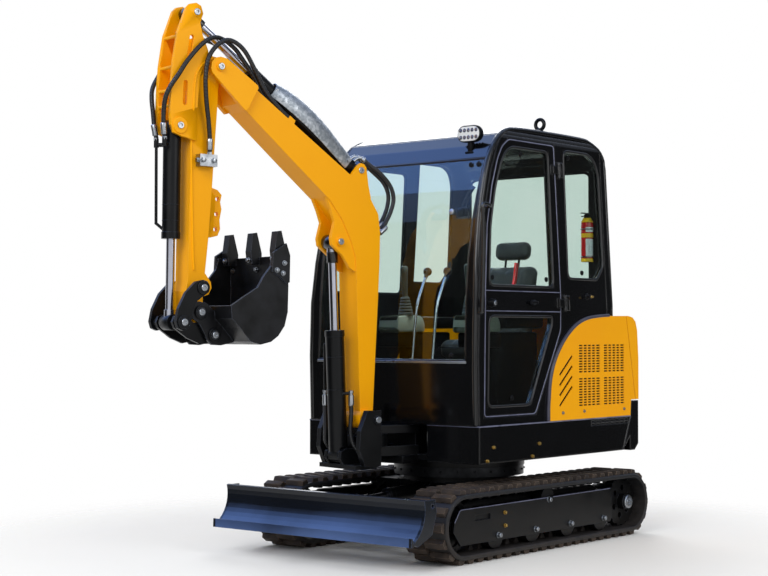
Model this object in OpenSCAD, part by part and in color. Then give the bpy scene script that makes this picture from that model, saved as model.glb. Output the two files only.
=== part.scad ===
// Cab mini excavator on rubber tracks, millimetres.
// The nose points to -Y, the operator's left is +X, up is +Z, and the lug tips stand on Z = 0.
// Side outlines of the front gear are drawn as (s, z): s runs forward from the swing pin.

/* [Undercarriage] */
// Half width over both tracks
track_out = 700; // [650:5:750]
// Width of one track belt
belt_w = 300; // [250:5:320]
// Distance from slew axis to idler axle
idler_d = 855; // [800:5:900]
// Distance from slew axis to sprocket axle
sprocket_d = 845; // [800:5:900]
// Radius over the track lugs at idler and sprocket
lug_tip_r = 200; // [185:1:215]
// Height of a track lug
lug_h = 25; // [18:1:32]
// Thickness of the rubber belt
belt_t = 25; // [18:1:30]
// Lugs along one half of a track
lug_n = 52; // [40:2:60]
// Length of a lug's foot along the track
lug_foot = 52; // [40:1:60]
// Length of a lug's tip along the track
lug_tip = 34; // [20:1:40]
// Half width over the dozer blade
blade_half = 718; // [680:2:730]
// Thickness of the blade sheet
blade_t = 14; // [8:1:20]

/* [House] */
// Half width of the house
house_half = 626; // [600:2:640]
// Height of the house's underside
deck_z0 = 515; // [505:1:540]
// Height of the deck the cab stands on
deck_z1 = 722; // [700:2:740]
// Distance from slew axis to the house's front
house_front = 637; // [620:1:650]
// Distance from slew axis to the swing pin
pivot_d = 800; // [780:5:830]
// Half width of the cab at its belt line
cab_half = 612; // [590:2:620]
// Half width of the cab at its roof edge
roof_half = 560; // [540:2:580]
// Height of the roof's top
roof_z = 2423; // [2380:1:2460]
// Thickness of the cab's walls
wall = 40; // [32:1:50]
// Thickness of the window glass
glass_t = 6; // [5:1:8]

/* [Front gear] */
// Swing of the boom at rest, degrees to the operator's left
swing_rest = -12; // [-30:1:30]
// Half width of the boom's box
boom_half = 80; // [70:1:90]
// Half width of the arm's box
arm_half = 62; // [55:1:66]
// Half width of the bucket
bucket_half = 272; // [250:2:300]
// Radius of the boom cylinder's barrel
lift_r = 52; // [45:1:56]
// Radius of the arm cylinder's barrel
crowd_r = 42; // [38:1:45]
// Radius of the bucket cylinder's barrel
curl_r = 46; // [40:1:50]
// Radius of the cylinders' rods
rod_r = 23; // [20:1:26]
// Radius of the main pins
pin_r = 24; // [20:1:26]

/* [Clearances] */
// Radial play of a pin in its bore
fit = 0.05; // [0.03:0.01:0.1]
// Gap between parts that touch in use
seam = 0.3; // [0.2:0.05:0.5]
// Gap between parts that move past each other
run = 6; // [5:0.5:8]

/* [Hidden] */
$fn = 48;
origin_y = 540;

// Undercarriage
belt_r = lug_tip_r - lug_h;
wheel_r = belt_r - belt_t;
axle_z = lug_tip_r;
track_in = track_out - belt_w;
track_mid = track_out - belt_w / 2;
belt_in_z0 = lug_h + belt_t;
belt_in_z1 = 2 * lug_tip_r - belt_in_z0;
roller_r = 75.7;
roller_z = belt_in_z0 + roller_r + seam;
carrier_r = 62;
carrier_z = belt_in_z1 - carrier_r - seam;
roller_y = [-512, -154, 204, 562];
frame_y0 = -idler_d + wheel_r + 45;
frame_y1 = sprocket_d - wheel_r - 20;
ring_z0 = 400;
ring_mid = 456;
ring_r = 388;
blade_pin = [-440, 225];
blade_arm_x = 270;
blade_eye = [-900, 300];
blade_cyl_foot = [-345, 330];
blade_cyl_r = 40;

// Front gear, side outlines as (s, z)
foot_p = [124, 759];
lift_foot = [241, 560];
lift_eye = [287, 1737];
crowd_foot = [142, 2139];
tip_p = [1082, 2620];
crowd_eye = [1214, 2893];
curl_foot = [1309, 2299];
link_p = [1205, 1468];
bucket_p = [1204, 1343];
curl_eye = [1321, 1291];
bucket_link_p = [1122, 1226];
post_in = 165;
post_out = 200;
lug_in = 52;
cheek_out = arm_half + 16;
tip_in = cheek_out + run;
tip_out = tip_in + 20;
foot_half = 110;
link_in = 118;
link_out = 140;
blink_in = 72;
blink_out = 90;
ear_in = 97;
ear_out = 112;
nose_r = 62;
nose_lo = [545, 600];
nose_hi = [672, 717];

module placed() translate([0, origin_y, 0]) children();
module front_end() placed() translate([0, -pivot_d, 0]) rotate([0, 0, swing_rest]) children();
module side(t0, t1) rotate([90, 0, -90]) translate([0, 0, -t1]) linear_extrude(t1 - t0) children();
module prof(x0, x1) rotate([90, 0, 90]) translate([0, 0, x0]) linear_extrude(x1 - x0) children();
module across(y0, y1) rotate([90, 0, 0]) translate([0, 0, -y1]) linear_extrude(y1 - y0) children();
module box(x0, x1, y0, y1, z0, z1) translate([x0, y0, z0]) cube([x1 - x0, y1 - y0, z1 - z0]);
module both() {
  children();
  mirror([1, 0, 0]) children();
}
module rod_x(p, t0, t1, r) side(t0, t1) translate(p) circle(r);
module rod_y(x, z, y0, y1, r) across(y0, y1) translate([x, z]) circle(r);
module roll(y, z, x0, x1, r) prof(x0, x1) translate([y, z]) circle(r);
module along(a, b) translate([0, -a[0], a[1]]) rotate([atan2(b[0] - a[0], b[1] - a[1]), 0, 0]) children();
function dist(a, b) = norm([b[0] - a[0], b[1] - a[1]]);

// Undercarriage

module carbody() color("#1d1e20") placed() difference() {
  union() {
    box(-track_in + 5, track_in - 5, -300, 300, 215, 370);
    translate([0, 0, 365]) cylinder(r = ring_r - 60, h = ring_z0 - 365);
    both() prof(blade_arm_x - 62, blade_arm_x - 40)
      polygon([[-290, 360], [-460, 275], [-485, 225], [-460, 185], [-290, 215]]);
    both() prof(blade_arm_x + 40, blade_arm_x + 62)
      polygon([[-290, 360], [-460, 275], [-485, 225], [-460, 185], [-290, 215]]);
    both() roll(blade_pin[0], blade_pin[1], blade_arm_x - 62, blade_arm_x + 62, pin_r);
    both() prof(blade_cyl_r + run, blade_cyl_r + run + 14)
      polygon([[-290, 365], [-330, 368], [-385, 345], [-385, 310], [-290, 250]]);
    roll(blade_cyl_foot[0], blade_cyl_foot[1], -blade_cyl_r - run - 14, blade_cyl_r + run + 14, pin_r - 6);
  }
  translate([0, 0, 150]) cylinder(r = 150, h = 400);
}

module slew_bearing() color("#55585c") placed() difference() {
  translate([0, 0, ring_z0 + seam]) cylinder(r = ring_r, h = ring_mid - ring_z0 - seam);
  translate([0, 0, ring_z0 - 5]) cylinder(r = ring_r - 70, h = 100);
}

function loop_len() = 2 * (idler_d + sprocket_d) + 2 * PI * belt_r;
function loop_at(u, r) = let(s = idler_d + sprocket_d, q = PI * belt_r, v = u % loop_len())
  v < s ? [sprocket_d - v, axle_z - r] :
  v < s + q ? [-idler_d - r * sin((v - s) / belt_r * 180 / PI), axle_z - r * cos((v - s) / belt_r * 180 / PI)] :
  v < 2 * s + q ? [-idler_d + v - s - q, axle_z + r] :
  [sprocket_d + r * sin((v - 2 * s - q) / belt_r * 180 / PI),
    axle_z + r * cos((v - 2 * s - q) / belt_r * 180 / PI)];
module lug_loop(shift) {
  pitch = loop_len() / lug_n;
  polygon([for (i = [0 : lug_n - 1]) each [
    loop_at((i + shift) * pitch, belt_r),
    loop_at((i + shift) * pitch + (lug_foot - lug_tip) / 2, lug_tip_r),
    loop_at((i + shift) * pitch + (lug_foot + lug_tip) / 2, lug_tip_r),
    loop_at((i + shift) * pitch + lug_foot, belt_r)]]);
}
drive_h = 30;
drive_half = 28;
module track() {
  belt();
  for (i = [-9 : 8]) for (z = [belt_in_z0 - 2, belt_in_z1 - drive_h])
    box(track_mid - drive_half, track_mid + drive_half, 82 * i + 20, 82 * i + 62, z, z + drive_h + 2);
}
module belt() difference() {
  union() {
    prof(track_in, track_mid) lug_loop(0.1);
    prof(track_mid, track_out) lug_loop(0.6);
  }
  prof(track_in - 1, track_out + 1) union() {
    translate([-idler_d, axle_z - wheel_r]) square([idler_d + sprocket_d, 2 * wheel_r]);
    translate([-idler_d, axle_z]) circle(wheel_r);
    translate([sprocket_d, axle_z]) circle(wheel_r);
  }
}
module track_left() color("#2b2826") placed() track();
module track_right() color("#2b2826") placed() mirror([1, 0, 0]) track();

cover_x = track_out - 55;
module track_frame() difference() {
  union() {
    prof(track_in + 20, cover_x) polygon([[frame_y0, 235], [frame_y0 + 60, 285], [frame_y1 - 10, 285],
      [frame_y1, 270], [frame_y1, 190], [frame_y1 - 60, 165], [frame_y0 + 60, 165], [frame_y0, 190]]);
    prof(cover_x - 2, cover_x + 14) polygon([[-862, 284], [-905, 225], [-917, 175], [-851, 98], [640, 98], [655, 112],
      [655, 282], [640, 296], [-845, 290]]);
    box(track_in + 20, track_in + 40, -600, 640, 95, 170);
    box(track_in - 5 + seam, track_in + 25, -260, 260, 215, 285);
    for (x = [track_mid - 78, track_mid + 50]) prof(x, x + 28) polygon([[-idler_d - 46, axle_z - 24],
      [-idler_d - 46, axle_z + 24], [-idler_d, axle_z + 46], [frame_y0 + 20, axle_z + 46],
      [frame_y0 + 20, axle_z - 46], [-idler_d, axle_z - 46]]);
  }
  roll(0, carrier_z, track_in + 40, cover_x - 2, carrier_r + 10);
  roll(0, 290, cover_x - 5, track_out, 22);
  for (y = roller_y) roll(y, roller_z, track_in + 50, cover_x - 2, roller_r + 8);
  prof(cover_x + 4, track_out) translate([-724, 222]) square([140, 30]);
  roll(-idler_d, axle_z, track_in, cover_x - 3, 34 + seam);
}
module track_frame_left() color("#1d1e20") placed() track_frame();
module track_frame_right() color("#1d1e20") placed() mirror([1, 0, 0]) track_frame();

module roller(y, z, r, h) {
  roll(y, z, track_in + 62, track_mid - drive_half - 6, r);
  roll(y, z, track_mid + drive_half + 6, cover_x - 5, r);
  roll(y, z, track_in + 40 + seam, cover_x - 2 - seam, h);
}
module running_gear() {
  for (y = roller_y) roller(y, roller_z, roller_r, 24);
  roller(0, carrier_z, carrier_r, 20);
  difference() {
    roll(-idler_d, axle_z, track_mid - 45, track_mid + 45, wheel_r - seam);
    roll(-idler_d, axle_z, track_mid + 34, track_mid + 46, wheel_r - 34);
    roll(-idler_d, axle_z, track_mid - 46, track_mid - 34, wheel_r - 34);
  }
  roll(-idler_d, axle_z, track_mid - 80, track_mid + 80, 34);
  prof(track_mid + 10, track_mid + 60) difference() {
    translate([sprocket_d, axle_z]) circle(wheel_r - seam);
    for (i = [0 : 15]) translate([sprocket_d, axle_z]) rotate(22.5 * i) translate([wheel_r + 4, 0]) circle(15);
    for (i = [0 : 5]) translate([sprocket_d, axle_z]) rotate(60 * i + 20) translate([84, 0]) circle(19);
  }
  roll(sprocket_d, axle_z, track_in + 30, track_mid + 20, 104);
  roll(sprocket_d, axle_z, track_mid + 20, track_out - 50, 48);
  roll(sprocket_d, axle_z, track_out - 55, track_out - 28, 27);
}
module running_gear_left() color("#232427") placed() running_gear();
module running_gear_right() color("#232427") placed() mirror([1, 0, 0]) running_gear();

// Dozer blade

blade_c = [-1418, 325];
blade_r = 200;
blade_a0 = 15;
blade_a1 = -64;
function blade_at(r, a) = blade_c + r * [cos(a), sin(a)];
function blade_arc(r) = [for (i = [0 : 10]) blade_at(r, blade_a0 + (blade_a1 - blade_a0) * i / 10)];
function flip(v) = [for (i = [len(v) - 1 : -1 : 0]) v[i]];
module blade() color("#17181a") placed() {
  prof(-blade_half, blade_half) polygon(concat(blade_arc(blade_r), flip(blade_arc(blade_r - blade_t))));
  both() prof(blade_half - 14, blade_half) difference() {
    polygon(concat(flip(blade_arc(blade_r - blade_t)), [[-1150, 374], [-1137, 309], [-1175, 194], [-1290, 143]]));
    translate([-1172, 342]) circle(13);
  }
  prof(-blade_half, blade_half) polygon([[-1346, 143], [-1328, 143], [-1328, 170], [-1336, 190], [-1344, 190]]);
  difference() {
    both() {
      box(blade_arm_x - 34, blade_arm_x + 34, -1230, -520, 190, 262);
      roll(blade_pin[0], blade_pin[1], blade_arm_x - 34, blade_arm_x + 34, 52);
      prof(blade_arm_x - 34, blade_arm_x + 34)
        polygon([[-520, 190], [-520, 262], [-440, 277], [-440, 173]]);
    }
    both() roll(blade_pin[0], blade_pin[1], blade_arm_x - 90, blade_arm_x + 90, pin_r + fit);
  }
  box(-blade_arm_x, blade_arm_x, -960, -890, 195, 255);
  both() prof(38, 52) polygon([[-960, 200], [-950, 320], [-880, 335], [-860, 300], [-890, 200]]);
  both() roll(blade_eye[0], blade_eye[1], 37, 60, pin_r - 6);
}

module cyl_barrel(a, b, r, l, bore0, eye_r, eye_half, hole) along(a, b) difference() {
  union() {
    translate([0, 0, eye_r * 0.5]) cylinder(r = r, h = l - eye_r * 0.5);
    translate([0, 0, l - 34]) cylinder(r = r + 3, h = 34);
    rotate([0, 90, 0]) cylinder(r = eye_r, h = 2 * eye_half, center = true);
  }
  rotate([0, 90, 0]) cylinder(r = hole, h = 300, center = true);
  difference() {
    rotate([0, 90, 0]) cylinder(r = eye_r + 8, h = 300, center = true);
    rotate([0, 90, 0]) cylinder(r = eye_r + 9, h = 2 * eye_half, center = true);
  }
  translate([0, 0, bore0]) cylinder(r = rod_r + seam, h = l);
}
module cyl_rod(a, b, start, eye_r, eye_half) along(a, b) difference() {
  union() {
    translate([0, 0, start]) cylinder(r = rod_r, h = dist(a, b) - start);
    translate([0, 0, dist(a, b) - eye_r - 24]) cylinder(r = rod_r + 7, h = eye_r + 20);
    translate([0, 0, dist(a, b)]) rotate([0, 90, 0]) cylinder(r = eye_r, h = 2 * eye_half, center = true);
  }
  translate([0, 0, dist(a, b)]) rotate([0, 90, 0]) cylinder(r = eye_r * 0.5, h = 300, center = true);
}

function back(p) = [-p[0], p[1]];
module blade_barrel() color("#17181a") placed()
  cyl_barrel(back(blade_cyl_foot), back(blade_eye), blade_cyl_r, 330, 60, 34, 34, pin_r - 6 + fit);
module blade_rod() color("#c9ccd0") placed() cyl_rod(back(blade_cyl_foot), back(blade_eye), 210, 34, 30);

// House

module nose_plate(z) translate([0, 0, z[0]]) linear_extrude(z[1] - z[0]) union() {
  translate([0, -pivot_d]) circle(nose_r);
  polygon([[-nose_r, -pivot_d], [nose_r, -pivot_d], [150, -house_front + 66], [-150, -house_front + 66]]);
}
function tail_y(z) = 851 - seam * 2 + (z - deck_z0 - 2) * 90 / 205;
module upper_frame() color("#1b1c1e") placed() {
  difference() {
    union() {
      prof(-house_half + 25, house_half - 25) polygon([[-house_front + 62, deck_z0 + 5],
        [tail_y(deck_z0 + 5), deck_z0 + 5], [tail_y(deck_z0 + 35), deck_z0 + 35], [-house_front + 62, deck_z0 + 35]]);
      translate([0, 0, ring_mid + seam]) cylinder(r = ring_r + 5, h = deck_z0 + 10 - ring_mid - seam);
      nose_plate(nose_lo);
      nose_plate(nose_hi);
      both() box(100, 130, -house_front + 62, 420, deck_z0 + 30, deck_z1 - 5);
      box(-130, 130, -house_front + 62, -house_front + 92, deck_z0 + 10, deck_z1 - 5);
      translate([0, -pivot_d, nose_lo[0] - 14]) cylinder(r = 40, h = nose_hi[1] - nose_lo[0] + 28);
    }
    translate([0, 0, ring_mid - 5]) cylinder(r = ring_r - 75, h = 100);
  }
}

module skirt_side() difference() {
  prof(house_half - 25 + seam, house_half) polygon([[-house_front, deck_z0], [-house_front, deck_z1],
    [936, deck_z1], [846, deck_z0]]);
  for (i = [0 : 7]) for (z = [680, 699])
    box(house_half - 12, house_half + 5, 490 + 54 * i, 528 + 54 * i, z, z + 10);
}
module skirts() color("#18191b") placed() {
  both() skirt_side();
  both() box(260, house_half - 25 + seam, -house_front, -house_front + 25, deck_z0, deck_z1);
}

module counterweight() color("#18191b") placed() difference() {
  prof(-house_half, house_half) polygon([[946, 815], [1070, 815], [1078, 800], [1078, 591], [985, 509],
    [935, 509], [935, 600], [851, 515 + 2], [941, 722]]);
  both() translate([house_half, 1078, 500]) rotate([0, 0, 45]) cube([70, 70, 800], center = true);
}

hood_top = [[52, 850], [68, 963], [110, 1068], [180, 1160], [262, 1232], [350, 1284], [450, 1316], [560, 1330],
  [701, 1338], [914, 1340]];
hood_out = concat([[52, deck_z1 + seam]], hood_top, [[965, 1331], [1000, 1305], [1020, 1250], [1053, 829], [1050, 822],
  [944, 822], [936, deck_z1 + seam]]);
hood_in = [[690, 1000], [690, 1312], [912, 1314], [952, 1306], [976, 1288], [995, 1246], [1027, 847], [900, 847]];
module behind_seam(g) polygon([[888 + g, 1400], [888 + g, 1336], [993 + g, 829], [993 + g, 700], [1300, 700],
  [1300, 1400]]);
louvre_y = [357, 632];
louvre_z = [802, 1000];
louvre_w = 230;
louvre_rows = 11;
louvre_pitch = 15.6;
louvre_h = 8;
lid_pin = [800, 1316];
module hood_side() difference() {
  union() {
    prof(house_half - 24, house_half) difference() {
      polygon(hood_out);
      behind_seam(0);
    }
    roll(lid_pin[0], lid_pin[1], house_half - 60, house_half - 20, 7);
  }
  for (y = louvre_y) for (z = louvre_z) for (i = [0 : louvre_rows - 1])
    box(house_half - 30, house_half + 5, y, y + louvre_w, z + louvre_pitch * i, z + louvre_pitch * i + louvre_h);
  for (i = [0 : 3]) prof(house_half - 30, house_half + 5) translate([150, 808 + 60 * i]) rotate(40)
    translate([0, -8]) square([174, 16]);
}
module grille_side() {
  prof(house_half - 36, house_half - 32)
    polygon([[110, 780], [110, 985], [190, 1105], [300, 1180], [885, 1180], [885, 780]]);
  for (y = louvre_y) for (z = louvre_z) for (i = [1 : 4])
    box(house_half - 33, house_half - 24 - seam, y + louvre_w * i / 5 - 6, y + louvre_w * i / 5 + 6, z - 6,
      z + louvre_pitch * louvre_rows);
  for (y = [106, 881]) box(house_half - 36, house_half - 24 - seam, y, y + 8, 780, 980);
}
module grilles() color("#141517") placed() both() grille_side();
module hood_left() color("#f2a90c") placed() hood_side();
module hood_right() color("#f2a90c") placed() mirror([1, 0, 0]) hood_side();
module hood_rear() color("#f2a90c") placed() difference() {
  union() {
    prof(-house_half, house_half) intersection() {
      polygon(hood_out);
      behind_seam(run);
    }
    prof(-house_half + 24 + run, house_half - 24 - run) difference() {
      polygon(hood_out);
      translate([0, 700]) square([780, 700]);
    }
  }
  prof(-house_half + 24, house_half - 24) polygon(hood_in);
  prof(-house_half + 24, house_half - 24) translate([690, 700]) square([210, 600]);
  prof(-house_half + 24, house_half - 24) polygon([[890, 700], [890, 850], [1027, 850], [1000, 840], [1000, 700]]);
  both() roll(lid_pin[0], lid_pin[1], house_half - 70, house_half, 7 + fit);
  translate([0, 0, -5]) both() translate([house_half + 12, 1064, 800]) rotate([0, 0, 45])
    cube([60, 60, 1200], center = true);
}

module engine() color("#3a3d40") placed() box(-380, 380, 430, 850, deck_z0 + 35 + seam, 1060);

module tail_lamps() color("#b01c12") placed() both()
  box(470, 560, 1078 + seam, 1086, 690, 770);

// Cab

cab_side = [[-645, deck_z1], [-655, 1100], [-645, 1420], [-622, 1650], [-582, 1870], [-535, 2040], [-480, 2190],
  [-420, 2295], [-345, 2365], [-255, 2405], [-150, 2418], [100, roof_z], [520, roof_z - 2], [625, 2405], [700, 2365],
  [742, 2310], [757, 2240], [757, deck_z1]];
cab_side_in = [[-600, deck_z1 - 5], [-610, 1100], [-600, 1416], [-578, 1642], [-539, 1858], [-493, 2024],
  [-441, 2167], [-388, 2262], [-322, 2326], [-240, 2362], [-145, 2374], [100, 2380], [520, 2378], [610, 2364],
  [668, 2332], [704, 2288], [717, 2236], [717, deck_z1 - 5]];
cab_belt = 1400;
lean_top = 2340;
module cab_out_sec(in) polygon([[cab_half - in, deck_z1 - in], [cab_half - in, cab_belt], [roof_half - in, lean_top],
  [roof_half - 15 - in, 2385 - in * 0.5], [roof_half - 50 - in, 2410 - in], [roof_half - 130, roof_z - in],
  [-roof_half + 130, roof_z - in], [-roof_half + 50 + in, 2410 - in], [-roof_half + 15 + in, 2385 - in * 0.5],
  [-roof_half + in, lean_top], [-cab_half + in, cab_belt], [-cab_half + in, deck_z1 - in]]);
module cab_solid() intersection() {
  prof(-cab_half - 10, cab_half + 10) polygon(cab_side);
  across(-800, 900) cab_out_sec(0);
}
module cab_void() intersection() {
  prof(-cab_half - 10, cab_half + 10) polygon(cab_side_in);
  across(-800, 900) cab_out_sec(wall);
}
module hood_cut(g) prof(-cab_half - 20, cab_half + 20)
  polygon(concat([[52 - g, 600]], [for (p = hood_top) [p[0] - g, p[1] + g]], [[914, 600]]));
module cab_shell() difference() {
  cab_solid();
  cab_void();
  hood_cut(seam);
}
roof_cut = 2362;
screen_half = 540;
screen_z = 1075;
hinge_off = 14;
hinge_y = 207;
hinge_p = [cab_half + hinge_off, hinge_y];
hinge_lean = (cab_half - roof_half) / (lean_top - cab_belt);
knuckle_z = [1385, 2170];
module on_hinge(z) translate([hinge_p[0], hinge_y, cab_belt]) rotate([0, -atan(hinge_lean), 0])
  translate([0, 0, z - cab_belt]) children();
module door_out(g) polygon([[-572 - g, 774 - g], [-568 - g, 1100], [-559 - g, 1460], [-512 - g, 1837],
  [-450 - g, 2060], [-385 - g, 2215], [-335 - g * 0.7, 2290 + g * 0.7], [-267 - g * 0.5, 2336 + g], [187 + g, 2336 + g],
  [187 + g, 1487], [180 + g, 1250], [-82 + g, 774 - g]]);
module door_low(g) polygon([[-538 + g, 826 + g], [-525 + g, 1330 - g], [95 - g, 1330 - g], [97 - g, 1285],
  [-128 - g, 826 + g]]);
module door_high(g) polygon([[-518 + g, 1500 + g], [-478 + g, 1837], [-418 + g, 2050], [-350 + g, 2200],
  [-305 + g, 2262], [-240 + g, 2296 - g], [127 - g, 2296 - g], [120 - g, 1500 + g]]);
module quarter(g) polygon([[275 + g, 1555 + g], [290 + g, 2318 - g], [560 - g, 2318 - g], [632 - g, 2280],
  [668 - g, 2200], [672 - g, 1640], [625 - g, 1585], [590 - g, 1555 + g]]);
module side_pane(g) polygon([[-500 + g, 1480 + g], [-430 + g, 1900], [-360 + g, 2130], [-300 + g, 2240 - g],
  [187 - g, 2240 - g], [187 - g, 1480 + g]]);
module front_zone() prof(-900, 900) polygon([[-800, 600], [-800, 2600], [-330, roof_cut], [-390, 2275], [-455, 2145],
  [-554, 1850], [-592, 1645], [-614, 1418], [-626, 1100], [-616, 600]]);
module roof_zone() box(-900, 900, -900, 900, roof_cut, 2600);
module rear_zone() box(-900, 900, 690, 900, 600, 2600);

module cab_front() color("#141517") placed() difference() {
  intersection() {
    cab_shell();
    front_zone();
  }
  roof_zone();
  box(-screen_half, screen_half, -900, 0, screen_z, 2215);
}
module cab_wall() difference() {
  cab_shell();
  front_zone();
  roof_zone();
  rear_zone();
  box(-900, screen_half, -900, 0, 600, 2700);
  box(-900, 0, -900, 900, 600, 2700);
}
module cab_left() color("#141517") placed() {
  difference() {
    cab_wall();
    prof(0, 900) door_out(5);
    prof(0, 900) quarter(0);
  }
  for (z = knuckle_z) on_hinge(z) {
    for (h = [-20, 50 + seam]) translate([0, 0, h]) cylinder(r = 11, h = 20 - seam);
    translate([0, 0, -20]) cylinder(r = 5, h = 90);
    for (h = [-20, 50 + seam]) box(-20, 8, 2, 26, h, h + 20 - seam);
    box(-24, 8, 14, 40, -20, 70);
  }
}
module cab_right() color("#141517") placed() mirror([1, 0, 0]) difference() {
  cab_wall();
  prof(0, 900) side_pane(0);
  prof(0, 900) quarter(0);
}
module cab_rear() color("#141517") placed() difference() {
  intersection() {
    cab_shell();
    rear_zone();
  }
  roof_zone();
  box(-460, 460, 600, 900, 1470, 2230);
}
module cab_roof() color("#141517") placed() intersection() {
  cab_shell();
  roof_zone();
}
module cab_floor() color("#202226") placed() {
  box(-cab_half + wall + seam, cab_half - wall - seam, -595, 40, deck_z1 + seam, deck_z1 + 20);
}
module pane_side() intersection() {
  prof(0, 900) children();
  difference() {
    across(-800, 900) cab_out_sec(12);
    across(-810, 910) cab_out_sec(12 + glass_t);
  }
}
module cab_glass() color("#b9d6cf") placed() {
  intersection() {
    box(-screen_half + seam, screen_half - seam, -900, 0, screen_z + seam, 2215 - seam);
    prof(-900, 900) polygon([[-644, screen_z], [-634, 1420], [-611, 1650], [-571, 1870], [-524, 2036], [-455, 2220],
      [-461, 2220], [-530, 2036], [-577, 1870], [-617, 1650], [-640, 1420], [-650, screen_z]]);
  }
  pane_side() quarter(seam);
  mirror([1, 0, 0]) pane_side() quarter(seam);
  mirror([1, 0, 0]) pane_side() side_pane(seam);
  box(-460 + seam, 460 - seam, 735, 741, 1470 + seam, 2230 - seam);
}

// Door
module door_solid() intersection() {
  prof(0, 900) door_out(0);
  difference() {
    across(-800, 900) cab_out_sec(0);
    across(-810, 910) cab_out_sec(wall);
  }
}
module door_frame() color("#141517") placed() difference() {
  union() {
    door_solid();
    for (z = knuckle_z) on_hinge(z) {
      cylinder(r = 11, h = 50);
      box(-hinge_off + 1, 6, -40, -2, 0, 50);
      box(-hinge_off - 8, 6, -60, -26, 0, 50);
    }
  }
  prof(0, 900) door_low(0);
  prof(0, 900) door_high(0);
  for (z = knuckle_z) on_hinge(z) translate([0, 0, -1]) cylinder(r = 5 + fit, h = 60);
}
module door_glass() color("#b9d6cf") placed() {
  pane_side() door_low(seam);
  pane_side() door_high(seam);
}
module door_latch() color("#c9ccd0") placed() {
  translate([cab_half + seam, -509, 1402]) rotate([0, 90, 0]) cylinder(r1 = 26, r2 = 21, h = 30);
  translate([cab_half + seam, -114, 1410]) rotate([0, 90, 0]) cylinder(r = 15, h = 22);
  box(cab_half + 14, cab_half + 24, -150, -78, 1402, 1418);
}

// Cab inside
module seat() color("#1a1a1c") placed() {
  box(-230, 230, 110, 420, deck_z1 - 5 + seam, 1080);
  box(-235, 235, 60, 500, 1080, 1190);
  translate([0, 480, 1150]) rotate([-9, 0, 0]) {
    box(-205, 205, -90, 20, 0, 480);
    box(-115, 115, -70, 15, 505, 660);
    box(-50, 50, -45, -20, 470, 520);
  }
}
module pod() {
  box(250, 400, -330, 330, 1235, 1340);
  box(280, 370, -120, 300, deck_z1 + 20 + seam, 1240);
  translate([290, -205, 1338]) cylinder(r1 = 44, r2 = 20, h = 94);
  translate([290, -205, 1430]) rotate([-3, 0, 0]) cylinder(r1 = 16, r2 = 25, h = 190);
}
module controls() color("#8f968f") placed() both() pod();
module stick(a, b, r) let(v = b - a) translate(a) rotate([0, acos(v[2] / norm(v)), atan2(v[1], v[0])])
  cylinder(r = r, h = norm(v));
lever_p = [[75, -390, deck_z1 + 30], [75, -305, 1380], [75, -200, 1606]];
module travel_levers() color("#25272a") placed() both() {
  stick(lever_p[0], lever_p[1], 8);
  stick(lever_p[1], lever_p[2], 8);
  translate(lever_p[1]) sphere(r = 8.6);
  translate(lever_p[2]) sphere(r = 26);
  box(45, 110, -430, -350, deck_z1 + 20 + seam, deck_z1 + 50);
}
module work_lamp() color("#e8ebee") placed() {
  across(-450, -405) translate([413, 2362]) union() {
    translate([-34, -48]) square([68, 96]);
    translate([-34, 0]) circle(48);
    translate([34, 0]) circle(48);
  }
  difference() {
    box(398, 428, -445, -405, 2255, 2325);
    translate([0, -seam, seam]) cab_solid();
  }
}
eye_r = 20;
eye_t = 16;
eye_at = [470, 180, 2470];
module lifting_eyes() color("#141517") placed() both() difference() {
  prof(eye_at[0] - eye_t / 2, eye_at[0] + eye_t / 2) difference() {
    union() {
      translate([eye_at[1], eye_at[2]]) circle(eye_r + 22);
      translate([eye_at[1] - eye_r - 22, 2395]) square([2 * eye_r + 44, eye_at[2] - 2395]);
    }
    translate([eye_at[1], eye_at[2]]) circle(eye_r);
  }
  translate([0, 0, seam]) cab_solid();
}
rail_p = [[cab_half - 27, -546, 1932], [cab_half + 28, -546, 1932], [cab_half + 28, -625, 1952],
  [cab_half + 28, -617, 1702], [cab_half + 28, -633, 1343], [cab_half + seam, -633, 1343]];
module grab_rail() color("#1b1c1e") placed() {
  for (i = [0 : 4]) stick(rail_p[i], rail_p[i + 1], 11);
  for (i = [1 : 4]) translate(rail_p[i]) sphere(r = 11.6);
}
module extinguisher() color("#b5231a") placed() {
  translate([490, 655, 1668]) cylinder(r = 37, h = 270);
  translate([490, 655, 1930]) cylinder(r = 22, h = 45);
  box(478, 502, 680, 717 - seam, 1700, 1900);
}

// Swing post and boom

module swing_post() color("#17181a") front_end() difference() {
  union() {
    translate([0, 0, nose_lo[1] + seam]) cylinder(r = 84, h = nose_hi[0] - nose_lo[1] - 2 * seam);
    box(-post_out, post_out, -172, -95, nose_lo[1] + 6, nose_hi[0] - 6);
    box(-70, 70, -110, -40, nose_lo[1] + 6, nose_hi[0] - 6);
    box(-post_in, post_in, -112, -100, 490, nose_lo[1] + 10);
    both() side(post_in, post_out) polygon([[96, 810], [190, 810], [238, 700], [246, 600], [206, 505], [130, 498],
      [96, 510]]);
    box(-post_in, post_in, -250, -100, 488, 512);
    both() side(lug_in, lug_in + 24) polygon([[120, 525], [190, 600], [241, 602], [278, 585], [283, 545],
      [262, 515], [225, 500], [120, 500]]);
    rod_x(lift_foot, -lug_in - 24, lug_in + 24, pin_r);
    rod_x(foot_p, -post_out - 12, post_out + 12, pin_r);
  }
  translate([0, 0, 400]) cylinder(r = 40 + fit, h = 600);
}

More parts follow.
